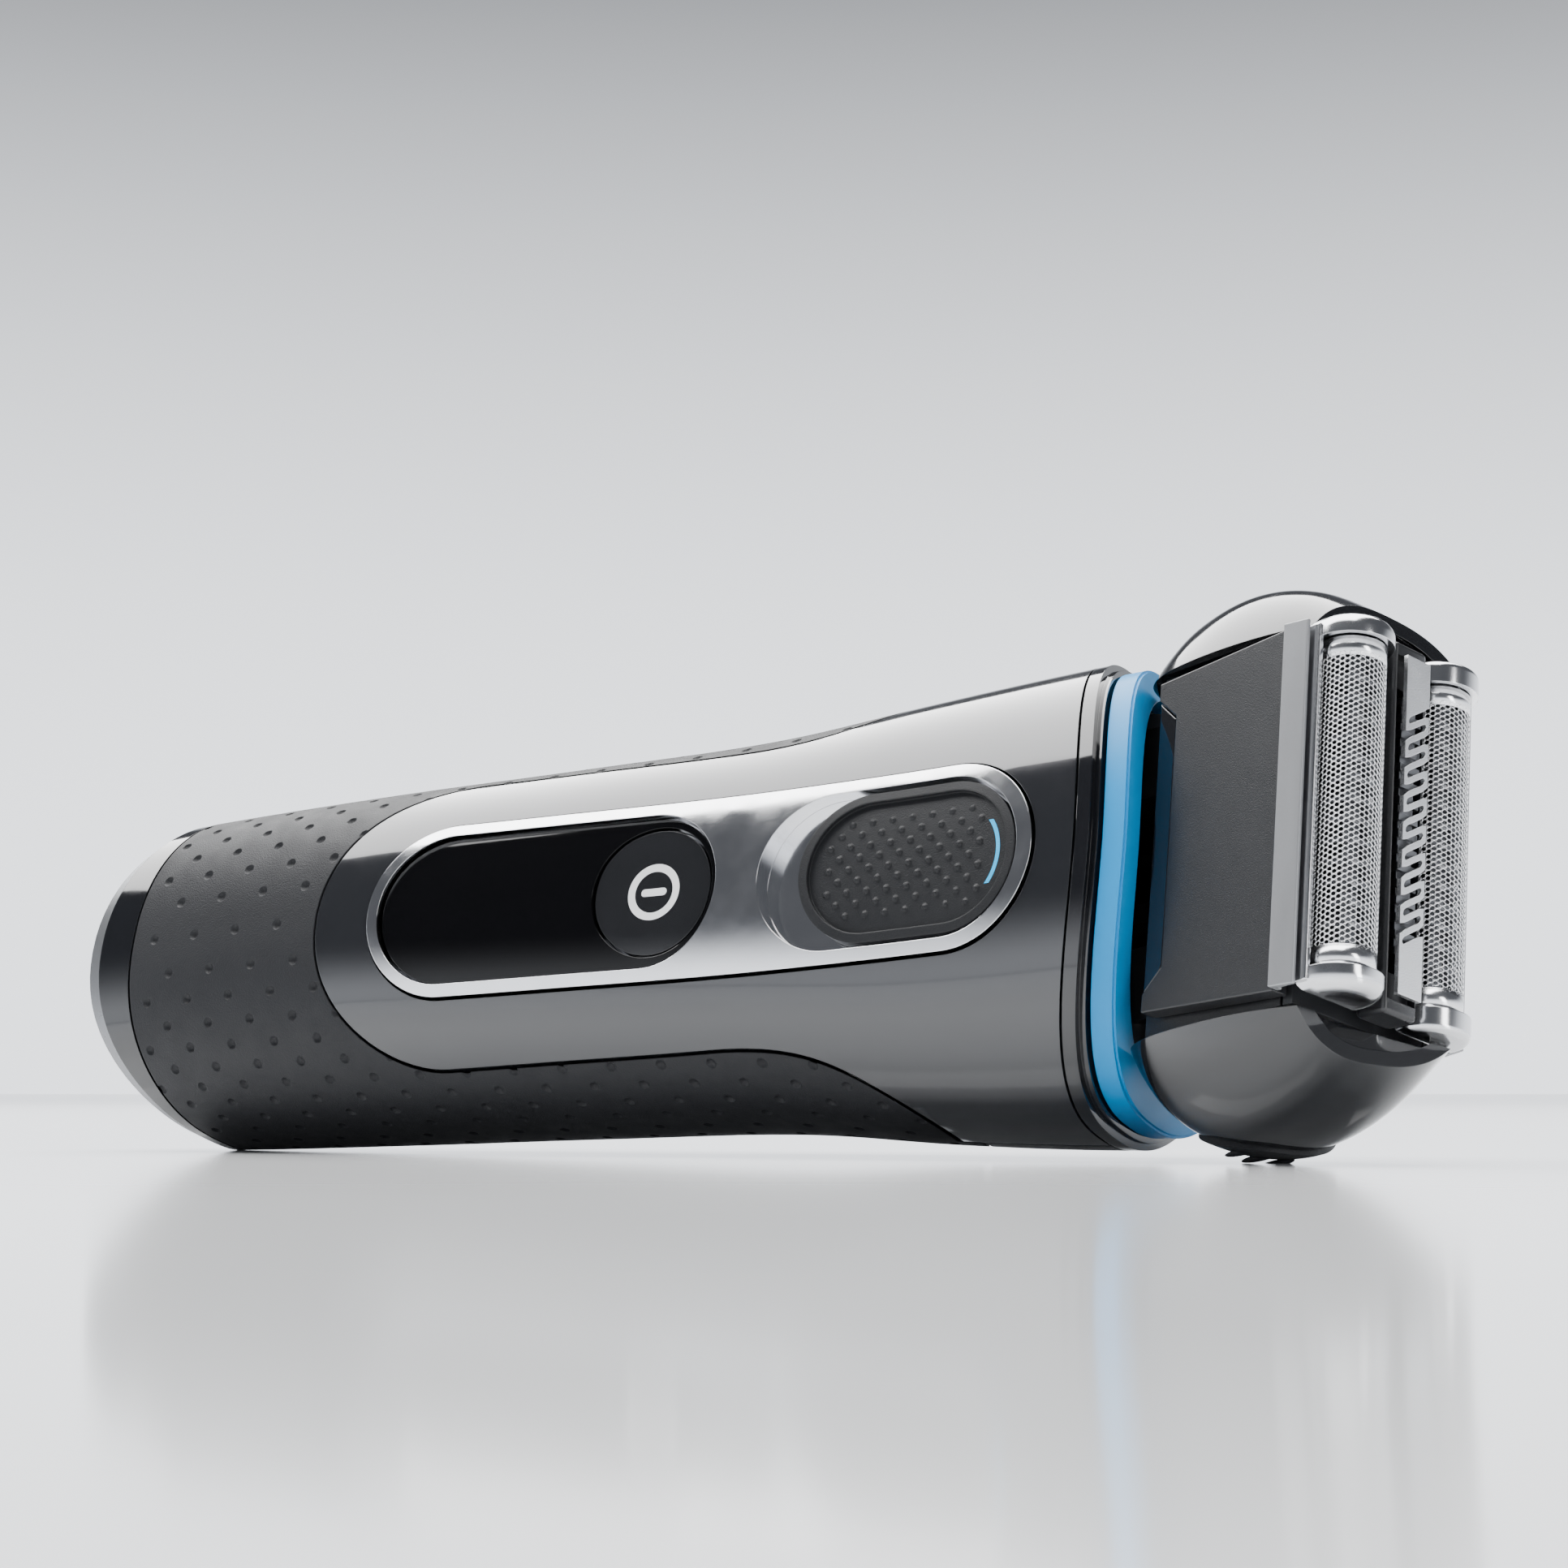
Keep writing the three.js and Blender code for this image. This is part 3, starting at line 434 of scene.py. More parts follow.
satin_grey = finish("satin_grey", (0.23, 0.235, 0.245), 0.3, metallic=0.7, mottle=0.06, grain=0.08, grain_size=0.12)
trim = within(rounded_form(handle, 0.7, 0, 16, rows=24), base_zone(0, 9, trim_end, trim_bow))
trim = cut(trim, socket_hole(socket["wall"] + gap))
place(trim, "end_trim_ring", handle_axes, "handle", satin_grey, "satin_grey", ["end_trim"])

# ---------------------------------------------------------------- front cover
# Gunmetal-lacquered cover that carries the controls. It is a round-ended tongue along the grip
# and flares out to the full width of the neck, with an opening for the control panel.

bezel = {"start": 41.7, "end": 122.7, "width": 19.9, "rim": 1.3, "proud": 0.35, "depth": 3.2, "floor": 1}
recess = {"start": 90.5, "end": 121, "width": 17.2, "floor": 1.1}
bezel_floor = size_at(handle, "fronts", recess["start"]) - bezel["depth"]


def stadium(start, end, width, steps=40):
    r = width / 2
    return arc((end - r, 0), r, -90, 90, steps) + arc((start + r, 0), r, 90, 270, steps)


def panel_outline(grow):
    return stadium(bezel["start"] - grow, bezel["end"] + grow, bezel["width"] + 2 * grow)


gunmetal = finish("gunmetal_lacquer", (0.019, 0.02, 0.023), 0.12, metallic=0.3, coat=1.0, mottle=0.05, smudge=0.2, grain=0.015, grain_size=1.8)
front = within(within(shell(), cover_tool(0)), middle_zone())
front = cut(front, slab(panel_outline(gap), bezel_floor - gap, reach))
place(front, "front_shell", handle_axes, "handle", gunmetal, "gunmetal", ["front_cover"])

# ---------------------------------------------------------------- rear cover
# Satin black cover in the back of the handle, with a floor under the long-hair trimmer.


def channel(grow):
    w = trimmer["half_width"] + grow
    return block((trimmer["start"] - grow, -w, -reach), (ring_end + reach, w, trimmer["floor_z"] + grow))


satin_black = finish("satin_black", (0.016, 0.017, 0.019), 0.38, mottle=0.1, grain=0.2, grain_size=0.2)
floor_low = trimmer["floor_z"] + gap
floor = block(
    (trimmer["start"] - 4, -trimmer["half_width"] - 2, floor_low),
    (ring_end, trimmer["half_width"] + 2, floor_low + wall),
)
floor = within(floor, rounded_form(handle, wall / 2, 0, ring_end + 1, sides=120, rows=40))
rear = within(joined(cut(shell(), channel(gap)), floor), within(rear_tool(0), middle_zone()))
place(rear, "rear_shell", handle_axes, "handle", satin_black, "satin_black", ["rear_cover"])

# ---------------------------------------------------------------- neck collar and accent ring
# A bevelled black collar closes the neck, and a bright cyan ring stands out of it round the
# opening that the head turns in. The ring's inner wall is the same plastic, in shadow.

collar_opening = {"inset": 4.4, "back": 13.2}


def neck_zone(low, high):
    return seam_zone(low, neck_bow, high, neck_bow, neck_half)


def neck_band(low, high, inset, soften):
    """A band of the handle's form between two neck seams, with its outer edges chamfered."""
    opening = rounded_form(handle, collar_opening["inset"], cover_end - 12, ring_end + 2, sides=160, rows=12)
    opening = within(opening, block((0, -reach, -collar_opening["back"]), (reach * 3, reach, reach)))
    band = within(rounded_form(handle, inset, cover_end - 8, ring_end + 1, rows=24), neck_zone(low, high))
    inner = within(rounded_form(handle, inset + soften, cover_end - 8, ring_end + 1, rows=24), neck_zone(high - 2 * soften, high))
    outer = within(rounded_form(handle, inset, cover_end - 8, ring_end + 1, rows=24), neck_zone(low, high - soften))
    band.free()
    return cut(cut(joined(outer, inner), opening), channel(gap))


collar = neck_band(cover_end + gap, collar_end, 0, 0.7)
place(collar, "collar", handle_axes, "handle", gloss_black, "gloss_black", ["neck_collar"])
cyan = finish("cyan_plastic", (0.0, 0.26, 0.6), 0.36, specular=0.25, mottle=0.05, grain=0.05, grain_size=0.3)
ring = neck_band(collar_end + gap, ring_end, 1.2, 0.25)
place(ring, "cyan_ring", handle_axes, "handle", cyan, "accent_cyan", ["accent_ring"])

# ---------------------------------------------------------------- control panel
# Chrome-plated frame let into the front cover, round the display window and the slider's recess.
# Its bridge between the window and the slider is softly polished.

window_end = 85.2
chrome = finish("chrome_plate", (0.78, 0.785, 0.8), 0.12, metallic=1.0, mottle=0.03, smudge=0.35, grain=0.02, grain_size=1.4)


def skin(inset):
    return rounded_form(handle, inset, bezel["start"] - 4, bezel["end"] + 4, rows=60)


def sloped_hole(start, end, width, low, slope):
    """A stadium-shaped hole whose base end slopes outwards towards the front."""
    bm = slab(stadium(start, end, width), low, reach)
    upper = [v for v in bm.verts if v.co.z > low + 1]
    for vert in upper:
        if vert.co.x < start + width / 2:
            vert.co.x = vert.co.x - slope * (reach - low)
    return bm


frame_body = within(slab(panel_outline(0), bezel_floor, reach), skin(-bezel["proud"]))
rim = bezel["rim"]
window_hole = slab(
    stadium(bezel["start"] + rim, window_end + gap, bezel["width"] - 2 * rim), bezel_floor + bezel["floor"], reach
)
recess_hole = slab(stadium(recess["start"], recess["end"], recess["width"]), bezel_floor + recess["floor"], reach)
frame_body = cut(cut(frame_body, window_hole), recess_hole)
place(frame_body, "chrome_frame", handle_axes, "handle", chrome, "chrome", ["bezel_frame"])

# ---------------------------------------------------------------- display window
# Black acrylic over the charge lamps, flush in the frame, with a round well for the button.

button = {"centre": 77.4, "radius": 7, "thickness": 1.2}


def disc(centre, radius, low, high, sides=96):
    bm = bmesh.new()
    bmesh.ops.create_cone(
        bm, cap_ends=True, segments=sides, radius1=radius, radius2=radius, depth=high - low,
        matrix=Matrix.Translation((centre, 0, (low + high) / 2)),
    )
    return bm


acrylic = finish("black_acrylic", (0.002, 0.002, 0.0025), 0.035, specular=0.3, mottle=0.1, smudge=0.4, grain=0.01, grain_size=3)
window_outline = stadium(bezel["start"] + rim + gap, window_end, bezel["width"] - 2 * rim - 2 * gap)
window = within(slab(window_outline, bezel_floor + bezel["floor"] + gap, reach), skin(bezel["proud"]))
window = cut(window, disc(button["centre"], button["radius"] + gap, 0, reach))
place(window, "display_glass", handle_axes, "handle", acrylic, "gloss_black", ["display_window"])

# ---------------------------------------------------------------- power button
# Round black button, slightly dished, with a printed white ring and dash.

mark = {"ring": 3.15, "line": 0.85, "dash": 3.1}
button_top = size_at(handle, "fronts", button["centre"]) - bezel["proud"]
button_black = finish("button_black", (0.012, 0.0125, 0.014), 0.08, coat=0.5, mottle=0.08, smudge=0.3, grain=0.01, grain_size=2)


def math_node(material, operation, *values):
    """A Math node fed with numbers or other nodes' outputs."""
    node = material.node_tree.nodes.new("ShaderNodeMath")
    node.operation = operation
    for socket_in, value in zip(node.inputs, values):
        if isinstance(value, (int, float)):
            socket_in.default_value = value
        else:
            material.node_tree.links.new(value, socket_in)
    return node.outputs[0]


def print_on(material, mask, colour, roughness=0.4):
    """Lays a printed colour over the surface where the mask is 1."""
    nodes, links = material.node_tree.nodes, material.node_tree.links
    bsdf = nodes["Principled BSDF"]
    over = nodes.new("ShaderNodeMix")
    over.data_type = "RGBA"
    over.inputs["B"].default_value = (*colour, 1)
    links.new(mask, over.inputs["Factor"])
    links.new(nodes["tone"].outputs["Result"], over.inputs["A"])
    links.new(over.outputs["Result"], bsdf.inputs["Base Color"])
    dull = nodes.new("ShaderNodeMix")
    dull.inputs["B"].default_value = roughness
    links.new(mask, dull.inputs["Factor"])
    links.new(nodes["gloss"].outputs["Result"], dull.inputs["A"])
    links.new(dull.outputs["Result"], bsdf.inputs["Roughness"])


def place_in(material):
    """The x, y and z of the surface in the shaver's axes."""
    split = material.node_tree.nodes.new("ShaderNodeSeparateXYZ")
    material.node_tree.links.new(
        material.node_tree.nodes["in_shaver_axes"].outputs["Vector"], split.inputs["Vector"]
    )
    return split.outputs


def near(material, value, target, half):
    """1 where value is within half of target."""
    return math_node(material, "COMPARE", value, target, half)


x, y, z = place_in(button_black)
along = math_node(button_black, "SUBTRACT", x, button["centre"])
across = math_node(button_black, "ABSOLUTE", y)
far = math_node(button_black, "SQRT", math_node(
    button_black, "ADD", math_node(button_black, "POWER", along, 2), math_node(button_black, "POWER", across, 2)
))
ring_mask = near(button_black, far, mark["ring"] - mark["line"] / 2, mark["line"] / 2)
half_dash = (mark["dash"] - mark["line"]) / 2
over_end = math_node(button_black, "MAXIMUM", math_node(
    button_black, "SUBTRACT", math_node(button_black, "ABSOLUTE", along), half_dash
), 0)
dash_far = math_node(button_black, "SQRT", math_node(
    button_black, "ADD", math_node(button_black, "POWER", over_end, 2), math_node(button_black, "POWER", across, 2)
))
dash_mask = math_node(button_black, "LESS_THAN", dash_far, mark["line"] / 2)
print_on(button_black, math_node(button_black, "MAXIMUM", ring_mask, dash_mask), (0.78, 0.78, 0.78))

cap_piece = disc(button["centre"], button["radius"], button_top - button["thickness"], reach)
cap_piece = within(cap_piece, skin(bezel["proud"] + 0.2))
dish = bmesh.new()
dish_radius = 60
bmesh.ops.create_uvsphere(
    dish, u_segments=128, v_segments=96, radius=dish_radius,
    matrix=Matrix.Translation((button["centre"], 0, button_top - 0.55 + dish_radius)),
)
cap_piece = cut(cap_piece, dish)
place(cap_piece, "power_cap", handle_axes, "power_button", button_black, "gloss_black", ["power_button"])

# ---------------------------------------------------------------- lock slider
# Soft-touch black slider in the recess: a raised rim round a dished pad with staggered pips, and
# a printed cyan arc at the head end.

slider = {"length": 25.3, "width": 16.2, "thickness": 2.6, "rim": 1.0, "dish": 0.45}
slider_end = recess["end"] - gap
slider_start = slider_end - slider["length"]
slider_top = size_at(handle, "fronts", (slider_start + slider_end) / 2)
pad_black = finish("soft_black", (0.009, 0.0095, 0.011), 0.45, specular=0.3, mottle=0.1, grain=0.35, grain_size=0.14, edge=0.25)

pad = slab(stadium(slider_start, slider_end, slider["width"]), slider_top - slider["thickness"], reach)
pad = within(pad, skin(-0.1))
hollow = slab(
    stadium(slider_start + slider["rim"], slider_end - slider["rim"], slider["width"] - 2 * slider["rim"]), 0, reach
)
pad = cut(pad, cut(hollow, skin(slider["dish"])))
pips = bmesh.new()
pip_pitch = 2.35
for row in range(-5, 6):
    for k in range(-6, 7):
        px = (slider_start + slider_end) / 2 + (k + (0.5 if row % 2 else 0)) * pip_pitch
        py = row * pip_pitch * 0.53
        end_x = max(abs(px - (slider_start + slider_end) / 2) - (slider["length"] - slider["width"]) / 2, 0)
        if math.hypot(end_x, py) < slider["width"] / 2 - 2.1 and px < slider_end - 3.6:
            top = on_form(handle, px, math.acos(min(1, (abs(py) / 20.0) ** (handle["fullness"] / 2))), slider["dish"])
            bmesh.ops.create_uvsphere(
                pips, u_segments=10, v_segments=6, radius=0.42, matrix=Matrix.Translation((px, py, top.z - 0.12))
            )
pad = joined(pad, pips)
x, y, z = place_in(pad_black)
arc_radius = slider["width"] / 2 - 2.2
arc_centre = slider_end - slider["width"] / 2
from_centre = math_node(pad_black, "SUBTRACT", x, arc_centre)
far = math_node(pad_black, "SQRT", math_node(
    pad_black, "ADD", math_node(pad_black, "POWER", from_centre, 2), math_node(pad_black, "POWER", y, 2)
))
arc_mask = near(pad_black, far, arc_radius, 0.22)
arc_mask = math_node(pad_black, "MULTIPLY", arc_mask, math_node(pad_black, "GREATER_THAN", from_centre, 0))
arc_mask = math_node(
    pad_black, "MULTIPLY", arc_mask,
    math_node(pad_black, "LESS_THAN", math_node(pad_black, "ABSOLUTE", y), 3.4),
)
print_on(pad_black, arc_mask, (0.005, 0.45, 0.85))
place(pad, "slider_pad", handle_axes, "lock_slider", pad_black, "satin_black", ["lock_slider"])

# ---------------------------------------------------------------- head side covers
# Polished black mouldings, one on each side of the head. Each is a rounded hood whose foil end is
# cut on a slope and closed by a sunken floor, with an oval pocket for its release button.

head_axes = handle_axes @ Matrix.Translation((pivot_x, 0, 0)) @ Matrix.Rotation(-head_pitch, 4, "Y")
side_cover = {
    "stations": (6.2, 8, 11, 15, 20, 26, 33, 37),
    "half_widths": (19.8, 23.4, 26.3, 27.9, 28.2, 26.5, 22.2, 19.6),
    "fronts": (10.6, 11.4, 12, 12.3, 12.4, 12.3, 11.9, 11.6),
    "backs": (11.4, 13.4, 15.2, 16.4, 16.8, 16, 14.2, 13),
    "fullness": 2.6,
    "start": 6.2,
    "end": 32,
    "tilt": math.radians(11),
    "inner": 19.2,
}
release = {"start": 8, "end": 19.5, "z": -5.5, "half_depth": 7.5, "travel": 1.2, "proud": 0.5, "depth": 6}
widest = max(side_cover["half_widths"])


def beyond_slope(shift):
    """Everything past the covers' sloping foil end, moved along it by shift."""
    bm = block((0, -reach, -reach), (reach, reach, reach))
    bmesh.ops.rotate(bm, verts=bm.verts, cent=(0, 0, 0), matrix=Matrix.Rotation(-side_cover["tilt"], 3, "Y"))
    bmesh.ops.translate(bm, verts=bm.verts, vec=(side_cover["end"] + shift, 0, 0))
    return bm


def release_oval(side, grow, proud):
    """An oval bar across one side cover, ending in the cover's own form where it is a button."""
    middle = (release["start"] + release["end"]) / 2
    outline = []
    for i in range(96):
        turn = 2 * math.pi * i / 96
        outline.append((
            middle + ((release["end"] - release["start"]) / 2 + grow) * math.cos(turn),
            release["z"] + (release["half_depth"] + grow) * math.sin(turn),
        ))
    low = widest - release["depth"] - (release["travel"] + grow if grow else 0)
    high = reach if grow else widest + 9
    plug = slab(outline, low, high, along="y") if side > 0 else slab(outline, -high, -low, along="y")
    if grow:
        return plug
    return within(plug, rounded_form(side_cover, -proud, side_cover["start"], side_cover["end"], rows=60))


gloss_head = finish(
    "head_polished_black", (0.008, 0.0085, 0.01), 0.09, head_axes, mottle=0.1, smudge=0.3, coat=0.5,
    grain=0.02, grain_size=2.2,
)
for side, word in ((-1, "left"), (1, "right")):
    near_y, far_y = sorted((side * side_cover["inner"], side * reach))
    zone = block((0, near_y, -reach), (reach, far_y, reach))
    hood = within(rounded_form(side_cover, 0, side_cover["start"], side_cover["end"] + 4), zone)
    hood = cut(hood, beyond_slope(0))
    hollow = rounded_form(side_cover, wall, side_cover["start"] + 2, side_cover["end"] + 3, sides=120, rows=50)
    hood = cut(hood, cut(hollow, beyond_slope(-3.4)))
    sunken = rounded_form(side_cover, 1.5, side_cover["start"] + 9, side_cover["end"] + 4, sides=160, rows=40)
    hood = cut(hood, within(sunken, beyond_slope(-1.6)))
    hood = cut(hood, release_oval(side, gap, 0))
    place(hood, f"side_hood_{word}", head_axes, "head", gloss_head, "gloss_black", [f"side_cover_{word}"])

# ---------------------------------------------------------------- release buttons
# Soft rubber ovals in the covers' lower corners, each with three raised grip dashes.

head_rubber = finish(
    "release_rubber", (0.011, 0.0115, 0.0135), 0.5, head_axes, specular=0.28, mottle=0.12, grain=0.5, grain_size=0.16, edge=0.2,
)
for side, word in ((-1, "left"), (1, "right")):
    plug = release_oval(side, 0, release["proud"])
    for z in (-5.2, -2.9, -0.6):
        x = (release["start"] + release["end"]) / 2 + 1.5
        surface = on_form(side_cover, x, math.pi / 2 - side * math.pi / 2, -release["proud"])
        dash = bmesh.new()
        bmesh.ops.create_uvsphere(dash, u_segments=20, v_segments=12, radius=1)
        bmesh.ops.scale(dash, verts=dash.verts, vec=(2.4, 0.35, 0.4))
        bmesh.ops.translate(dash, verts=dash.verts, vec=(x, surface.y - side * 0.1, z))
        plug = joined(plug, dash)
    place(
        plug, f"release_pad_{word}", head_axes, f"release_{word}", head_rubber, "grip_rubber",
        [f"release_button_{word}"],
    )

# ---------------------------------------------------------------- head panels
# Flat satin panels snapped over the front and back of the head. The front one is notched along
# its base edge round a long polished tab, which is the catch for the foil cassette.

panel = {"start": 12.3, "end": 29.4, "low_half": 17.2, "high_half": 18.3, "thickness": 2}
core_front, core_back = 8.9, 9.2
tab = {"half": 15.2, "depth": 2.3, "slant": 2.2}
panel_satin = finish(
    "panel_satin", (0.012, 0.0125, 0.014), 0.34, head_axes, mottle=0.02, smudge=0.04, grain=0.25, grain_size=0.13,
)


def softened(bm, width, segments=3, where=None):
    """Rounds over the edges that where picks, or all sharp ones."""
    bm.normal_update()
    edges = [
        e for e in bm.edges
        if len(e.link_faces) == 2 and e.calc_face_angle() > 0.6 and (where is None or where(e))
    ]
    bmesh.ops.bevel(
        bm, geom=edges, offset=width, offset_type="OFFSET", segments=segments, profile=0.5, material=-1,
        affect="EDGES", clamp_overlap=True,
    )
    return bm


def panel_slab(low, high):
    s, e, a, b = panel["start"], panel["end"], panel["low_half"], panel["high_half"]
    return slab([(s, -a), (e, -b), (e, b), (s, a)], low, high)


def tab_shape(grow, low, high):
    s, h = panel["start"], tab["half"] + grow
    deep = tab["depth"] + grow
    start = s - (1 if grow else 0)
    outline = [(start, -h), (s, -h), (s + deep, -h + tab["slant"]), (s + deep, h - tab["slant"]), (s, h), (start, h)]
    return slab(outline if grow else outline[1:5], low, high)


front_low = core_front + gap
front_panel = cut(panel_slab(front_low, front_low + panel["thickness"]), tab_shape(0.14, front_low - 1, reach))
front_panel = softened(front_panel, 0.16)
place(front_panel, "front_panel_sheet", head_axes, "head", panel_satin, "panel_grey", ["front_panel"])
catch = softened(tab_shape(0, front_low, front_low + panel["thickness"] - 0.25), 0.15)
place(catch, "panel_tab", head_axes, "head", gloss_head, "gloss_black", ["front_panel"])
back_low = -core_back - gap - panel["thickness"]
back_panel = softened(panel_slab(back_low, back_low + panel["thickness"]), 0.16)
place(back_panel, "rear_panel_sheet", head_axes, "head", panel_satin, "panel_grey", ["rear_panel"])

# ---------------------------------------------------------------- trim strips
# Satin grey strips at the panels' foil ends. A foot locates each one beside its panel and the lip
# slopes up in front of the foils.

rows = {"front": {"z": 6.8, "drop": 0}, "rear": {"z": -6.8, "drop": 1.3}}
foil = {"half_length": 16.4, "radius": 3.3, "skin": 0.14, "spring": 33.7}
foil_frame = {"start": 31.4, "wall": 0.6, "end_length": 2.5, "foot": 0.3}
strip = {"end": 32.4, "foot": 0.6, "foot_depth": 0.5, "thickness": 0.9}
strip_grey = finish(
    "strip_satin_grey", (0.3, 0.305, 0.315), 0.36, head_axes, metallic=0.6, mottle=0.05, grain=0.1,
    grain_size=0.12, stretch=(1, 6, 1),
)
for sign, word in ((1, "front"), (-1, "rear")):
    panel_top = (core_front if sign > 0 else core_back) + gap + panel["thickness"]
    inside = max(rows["front"]["z"] + foil["radius"] + foil_frame["wall"] + 2 * gap, panel_top)
    foot = inside - strip["foot_depth"]
    start = panel["end"] + gap
    outline = [
        (start, foot), (start + strip["foot"], foot), (start + strip["foot"], inside), (strip["end"], inside),
        (strip["end"], inside + strip["thickness"] / 2), (start, inside + strip["thickness"]),
    ]
    bar = slab([(x, sign * z) for x, z in outline], -panel["high_half"], panel["high_half"], along="y")
    place(softened(bar, 0.13), f"{word}_strip", head_axes, "head", strip_grey, "satin_grey", [f"{word}_trim_strip"])

# ---------------------------------------------------------------- foils
# Electroformed steel foils: a sheet of fine hexagonal holes with plain bands at both ends, bent
# over an arch. The cutter's blades show through the holes.


def arch_point(row, along, radius):
    """Where a flat sheet's point lands when bent over a row's arch; along is measured from the
    crown, down either side."""
    spring = foil["spring"] - row["drop"]
    quarter = radius * math.pi / 2
    if abs(along) <= quarter:
        turn = along / radius
        return spring + radius * math.cos(turn), row["z"] + radius * math.sin(turn)
    return spring - (abs(along) - quarter), row["z"] + math.copysign(radius, along)


foil_steel = finish(
    "foil_steel", (0.72, 0.725, 0.74), 0.2, head_axes, metallic=1.0, mottle=0.06, smudge=0.3, grain=0.05,
    grain_size=0.3, edge=0.02,
)
cell = {"pitch": 0.55, "web": 0.13}
for word, row in rows.items():
    radius = foil["radius"] - foil["skin"]
    leg = foil["spring"] - row["drop"] - foil_frame["start"] - foil_frame["foot"]
    half_sheet = radius * math.pi / 2 + leg
    mesh_half = foil["half_length"] - 1.7
    step_along, step_across = cell["pitch"], cell["pitch"] * math.sqrt(3) / 2
    count_along = int(2 * mesh_half / step_along)
    count_across = int(2 * half_sheet / step_across) - 1
    sheet = bmesh.new()
    hexagon = bmesh.ops.create_circle(sheet, segments=6, radius=cell["pitch"] / math.sqrt(3), cap_ends=True)["verts"]
    bmesh.ops.rotate(sheet, verts=hexagon, cent=(0, 0, 0), matrix=Matrix.Rotation(math.radians(30), 3, "Z"))
    holes = list(sheet.faces)
    bmesh.ops.inset_individual(sheet, faces=holes, thickness=cell["web"] / 2)
    bmesh.ops.delete(sheet, geom=holes, context="FACES_ONLY")
    first_y = -(count_along - 1) * step_along / 2
    first_z = -(count_across - 1) * step_across / 2
    bmesh.ops.translate(sheet, verts=sheet.verts, vec=(first_y, first_z, 0))
    single = list(sheet.faces) + list(sheet.edges) + list(sheet.verts)
    line = list(single)
    for i in range(1, count_along):
        made = bmesh.ops.duplicate(sheet, geom=single)["geom"]
        bmesh.ops.translate(
            sheet, verts=[g for g in made if isinstance(g, bmesh.types.BMVert)], vec=(i * step_along, 0, 0)
        )
        line += made
    for j in range(1, count_across):
        made = bmesh.ops.duplicate(sheet, geom=line)["geom"]
        shift = (step_along / 2 if j % 2 else 0, j * step_across, 0)
        bmesh.ops.translate(sheet, verts=[g for g in made if isinstance(g, bmesh.types.BMVert)], vec=shift)
    bmesh.ops.remove_doubles(sheet, verts=sheet.verts, dist=cell["pitch"] * 0.02)
    for end in (-1, 1):
        band = bmesh.ops.create_grid(sheet, x_segments=2, y_segments=40, size=1)["verts"]
        low, high = sorted((end * (mesh_half - 0.25), end * foil["half_length"]))
        for vert in band:
            vert.co = (low + (vert.co.x + 1) / 2 * (high - low), vert.co.y * half_sheet, 0)
    for vert in sheet.verts:
        along = max(-half_sheet, min(half_sheet, vert.co.y))
        x, z = arch_point(row, along, radius)
        vert.co = (x, vert.co.x, z)
    bmesh.ops.recalc_face_normals(sheet, faces=sheet.faces)
    perforated = place(
        sheet, f"{word}_foil_mesh", head_axes, f"{word}_foil", foil_steel, "foil_steel", [f"foil_{word}"], crease=50
    )
    thickness = perforated.modifiers.new("foil_thickness", "SOLIDIFY")
    thickness.thickness = foil["skin"] * 0.001
    thickness.offset = 0

# ---------------------------------------------------------------- foil frames
# Satin silver rails along each foil, with a polished domed cap over each end of it.

polished_silver = finish(
    "polished_silver", (0.66, 0.665, 0.68), 0.17, head_axes, metallic=1.0, mottle=0.04, smudge=0.3, grain=0.04,
    grain_size=0.8, stretch=(1, 5, 1),
)
for word, row in rows.items():
    r = foil["radius"] + gap
    length = foil["half_length"] + foil_frame["end_length"]
    spring = foil["spring"] - row["drop"]
    carrier = None
    for sign in (-1, 1):
        low, high = sorted((row["z"] + sign * r, row["z"] + sign * (r + foil_frame["wall"])))
        rail = block((foil_frame["start"], -length + 1, low), (spring - 0.4, length - 1, high))
        rail = softened(rail, 0.14)
        carrier = joined(carrier, rail) if carrier else rail
        cap_radius = r + foil_frame["wall"] * 0.6
        outline = [(foil_frame["start"] + foil_frame["foot"], row["z"] - cap_radius)]
        outline += [
            (spring + cap_radius * math.cos(t), row["z"] + cap_radius * math.sin(t))
            for t in (math.pi * (i / 40 - 0.5) for i in range(41))
        ]
        outline += [(foil_frame["start"] + foil_frame["foot"], row["z"] + cap_radius)]
        low, high = sorted((sign * (foil["half_length"] + gap / 2), sign * length))
        dome = slab(outline, low, high, along="y")
        dome = softened(dome, 1.5, 6, lambda e: all(abs(abs(v.co.y) - length) < 1e-4 for v in e.verts))
        carrier = joined(carrier, dome)
    place(
        carrier, f"{word}_foil_carrier", head_axes, f"{word}_foil", polished_silver, "satin_silver",
        [f"foil_frame_{word}"],
    )

# ---------------------------------------------------------------- middle trimmer
# A flat steel guard whose slanting slots leave a winding line of fingers, between two plain end
# plates, in a black carrier with rounded ends.

middle = {"half_width": 1.9, "rim": 0.4, "half_length": 17.4, "top": 36, "guard": 0.5, "end_plate": 4.6}
fingers = 9
edge = middle["half_width"] + middle["rim"]
end_y = middle["half_length"] + 1.4
tray = block((foil_frame["start"], -end_y, -edge), (middle["top"] - 1, end_y, edge))
tray = softened(tray, 0.5, 3, lambda e: all(abs(abs(v.co.y) - end_y) < 1e-4 for v in e.verts))
well = middle["half_length"] - 3
tray = cut(tray, block(
    (foil_frame["start"] - 1, -well, -middle["half_width"]), (middle["top"] + 1, well, middle["half_width"])
))
seat = middle["half_length"]
tray = cut(tray, block(
    (middle["top"] - 2, -seat, -middle["half_width"]), (middle["top"] + 1, seat, middle["half_width"])
))
tray_black = finish("tray_black", (0.014, 0.0145, 0.016), 0.3, head_axes, mottle=0.1, grain=0.15, grain_size=0.2)
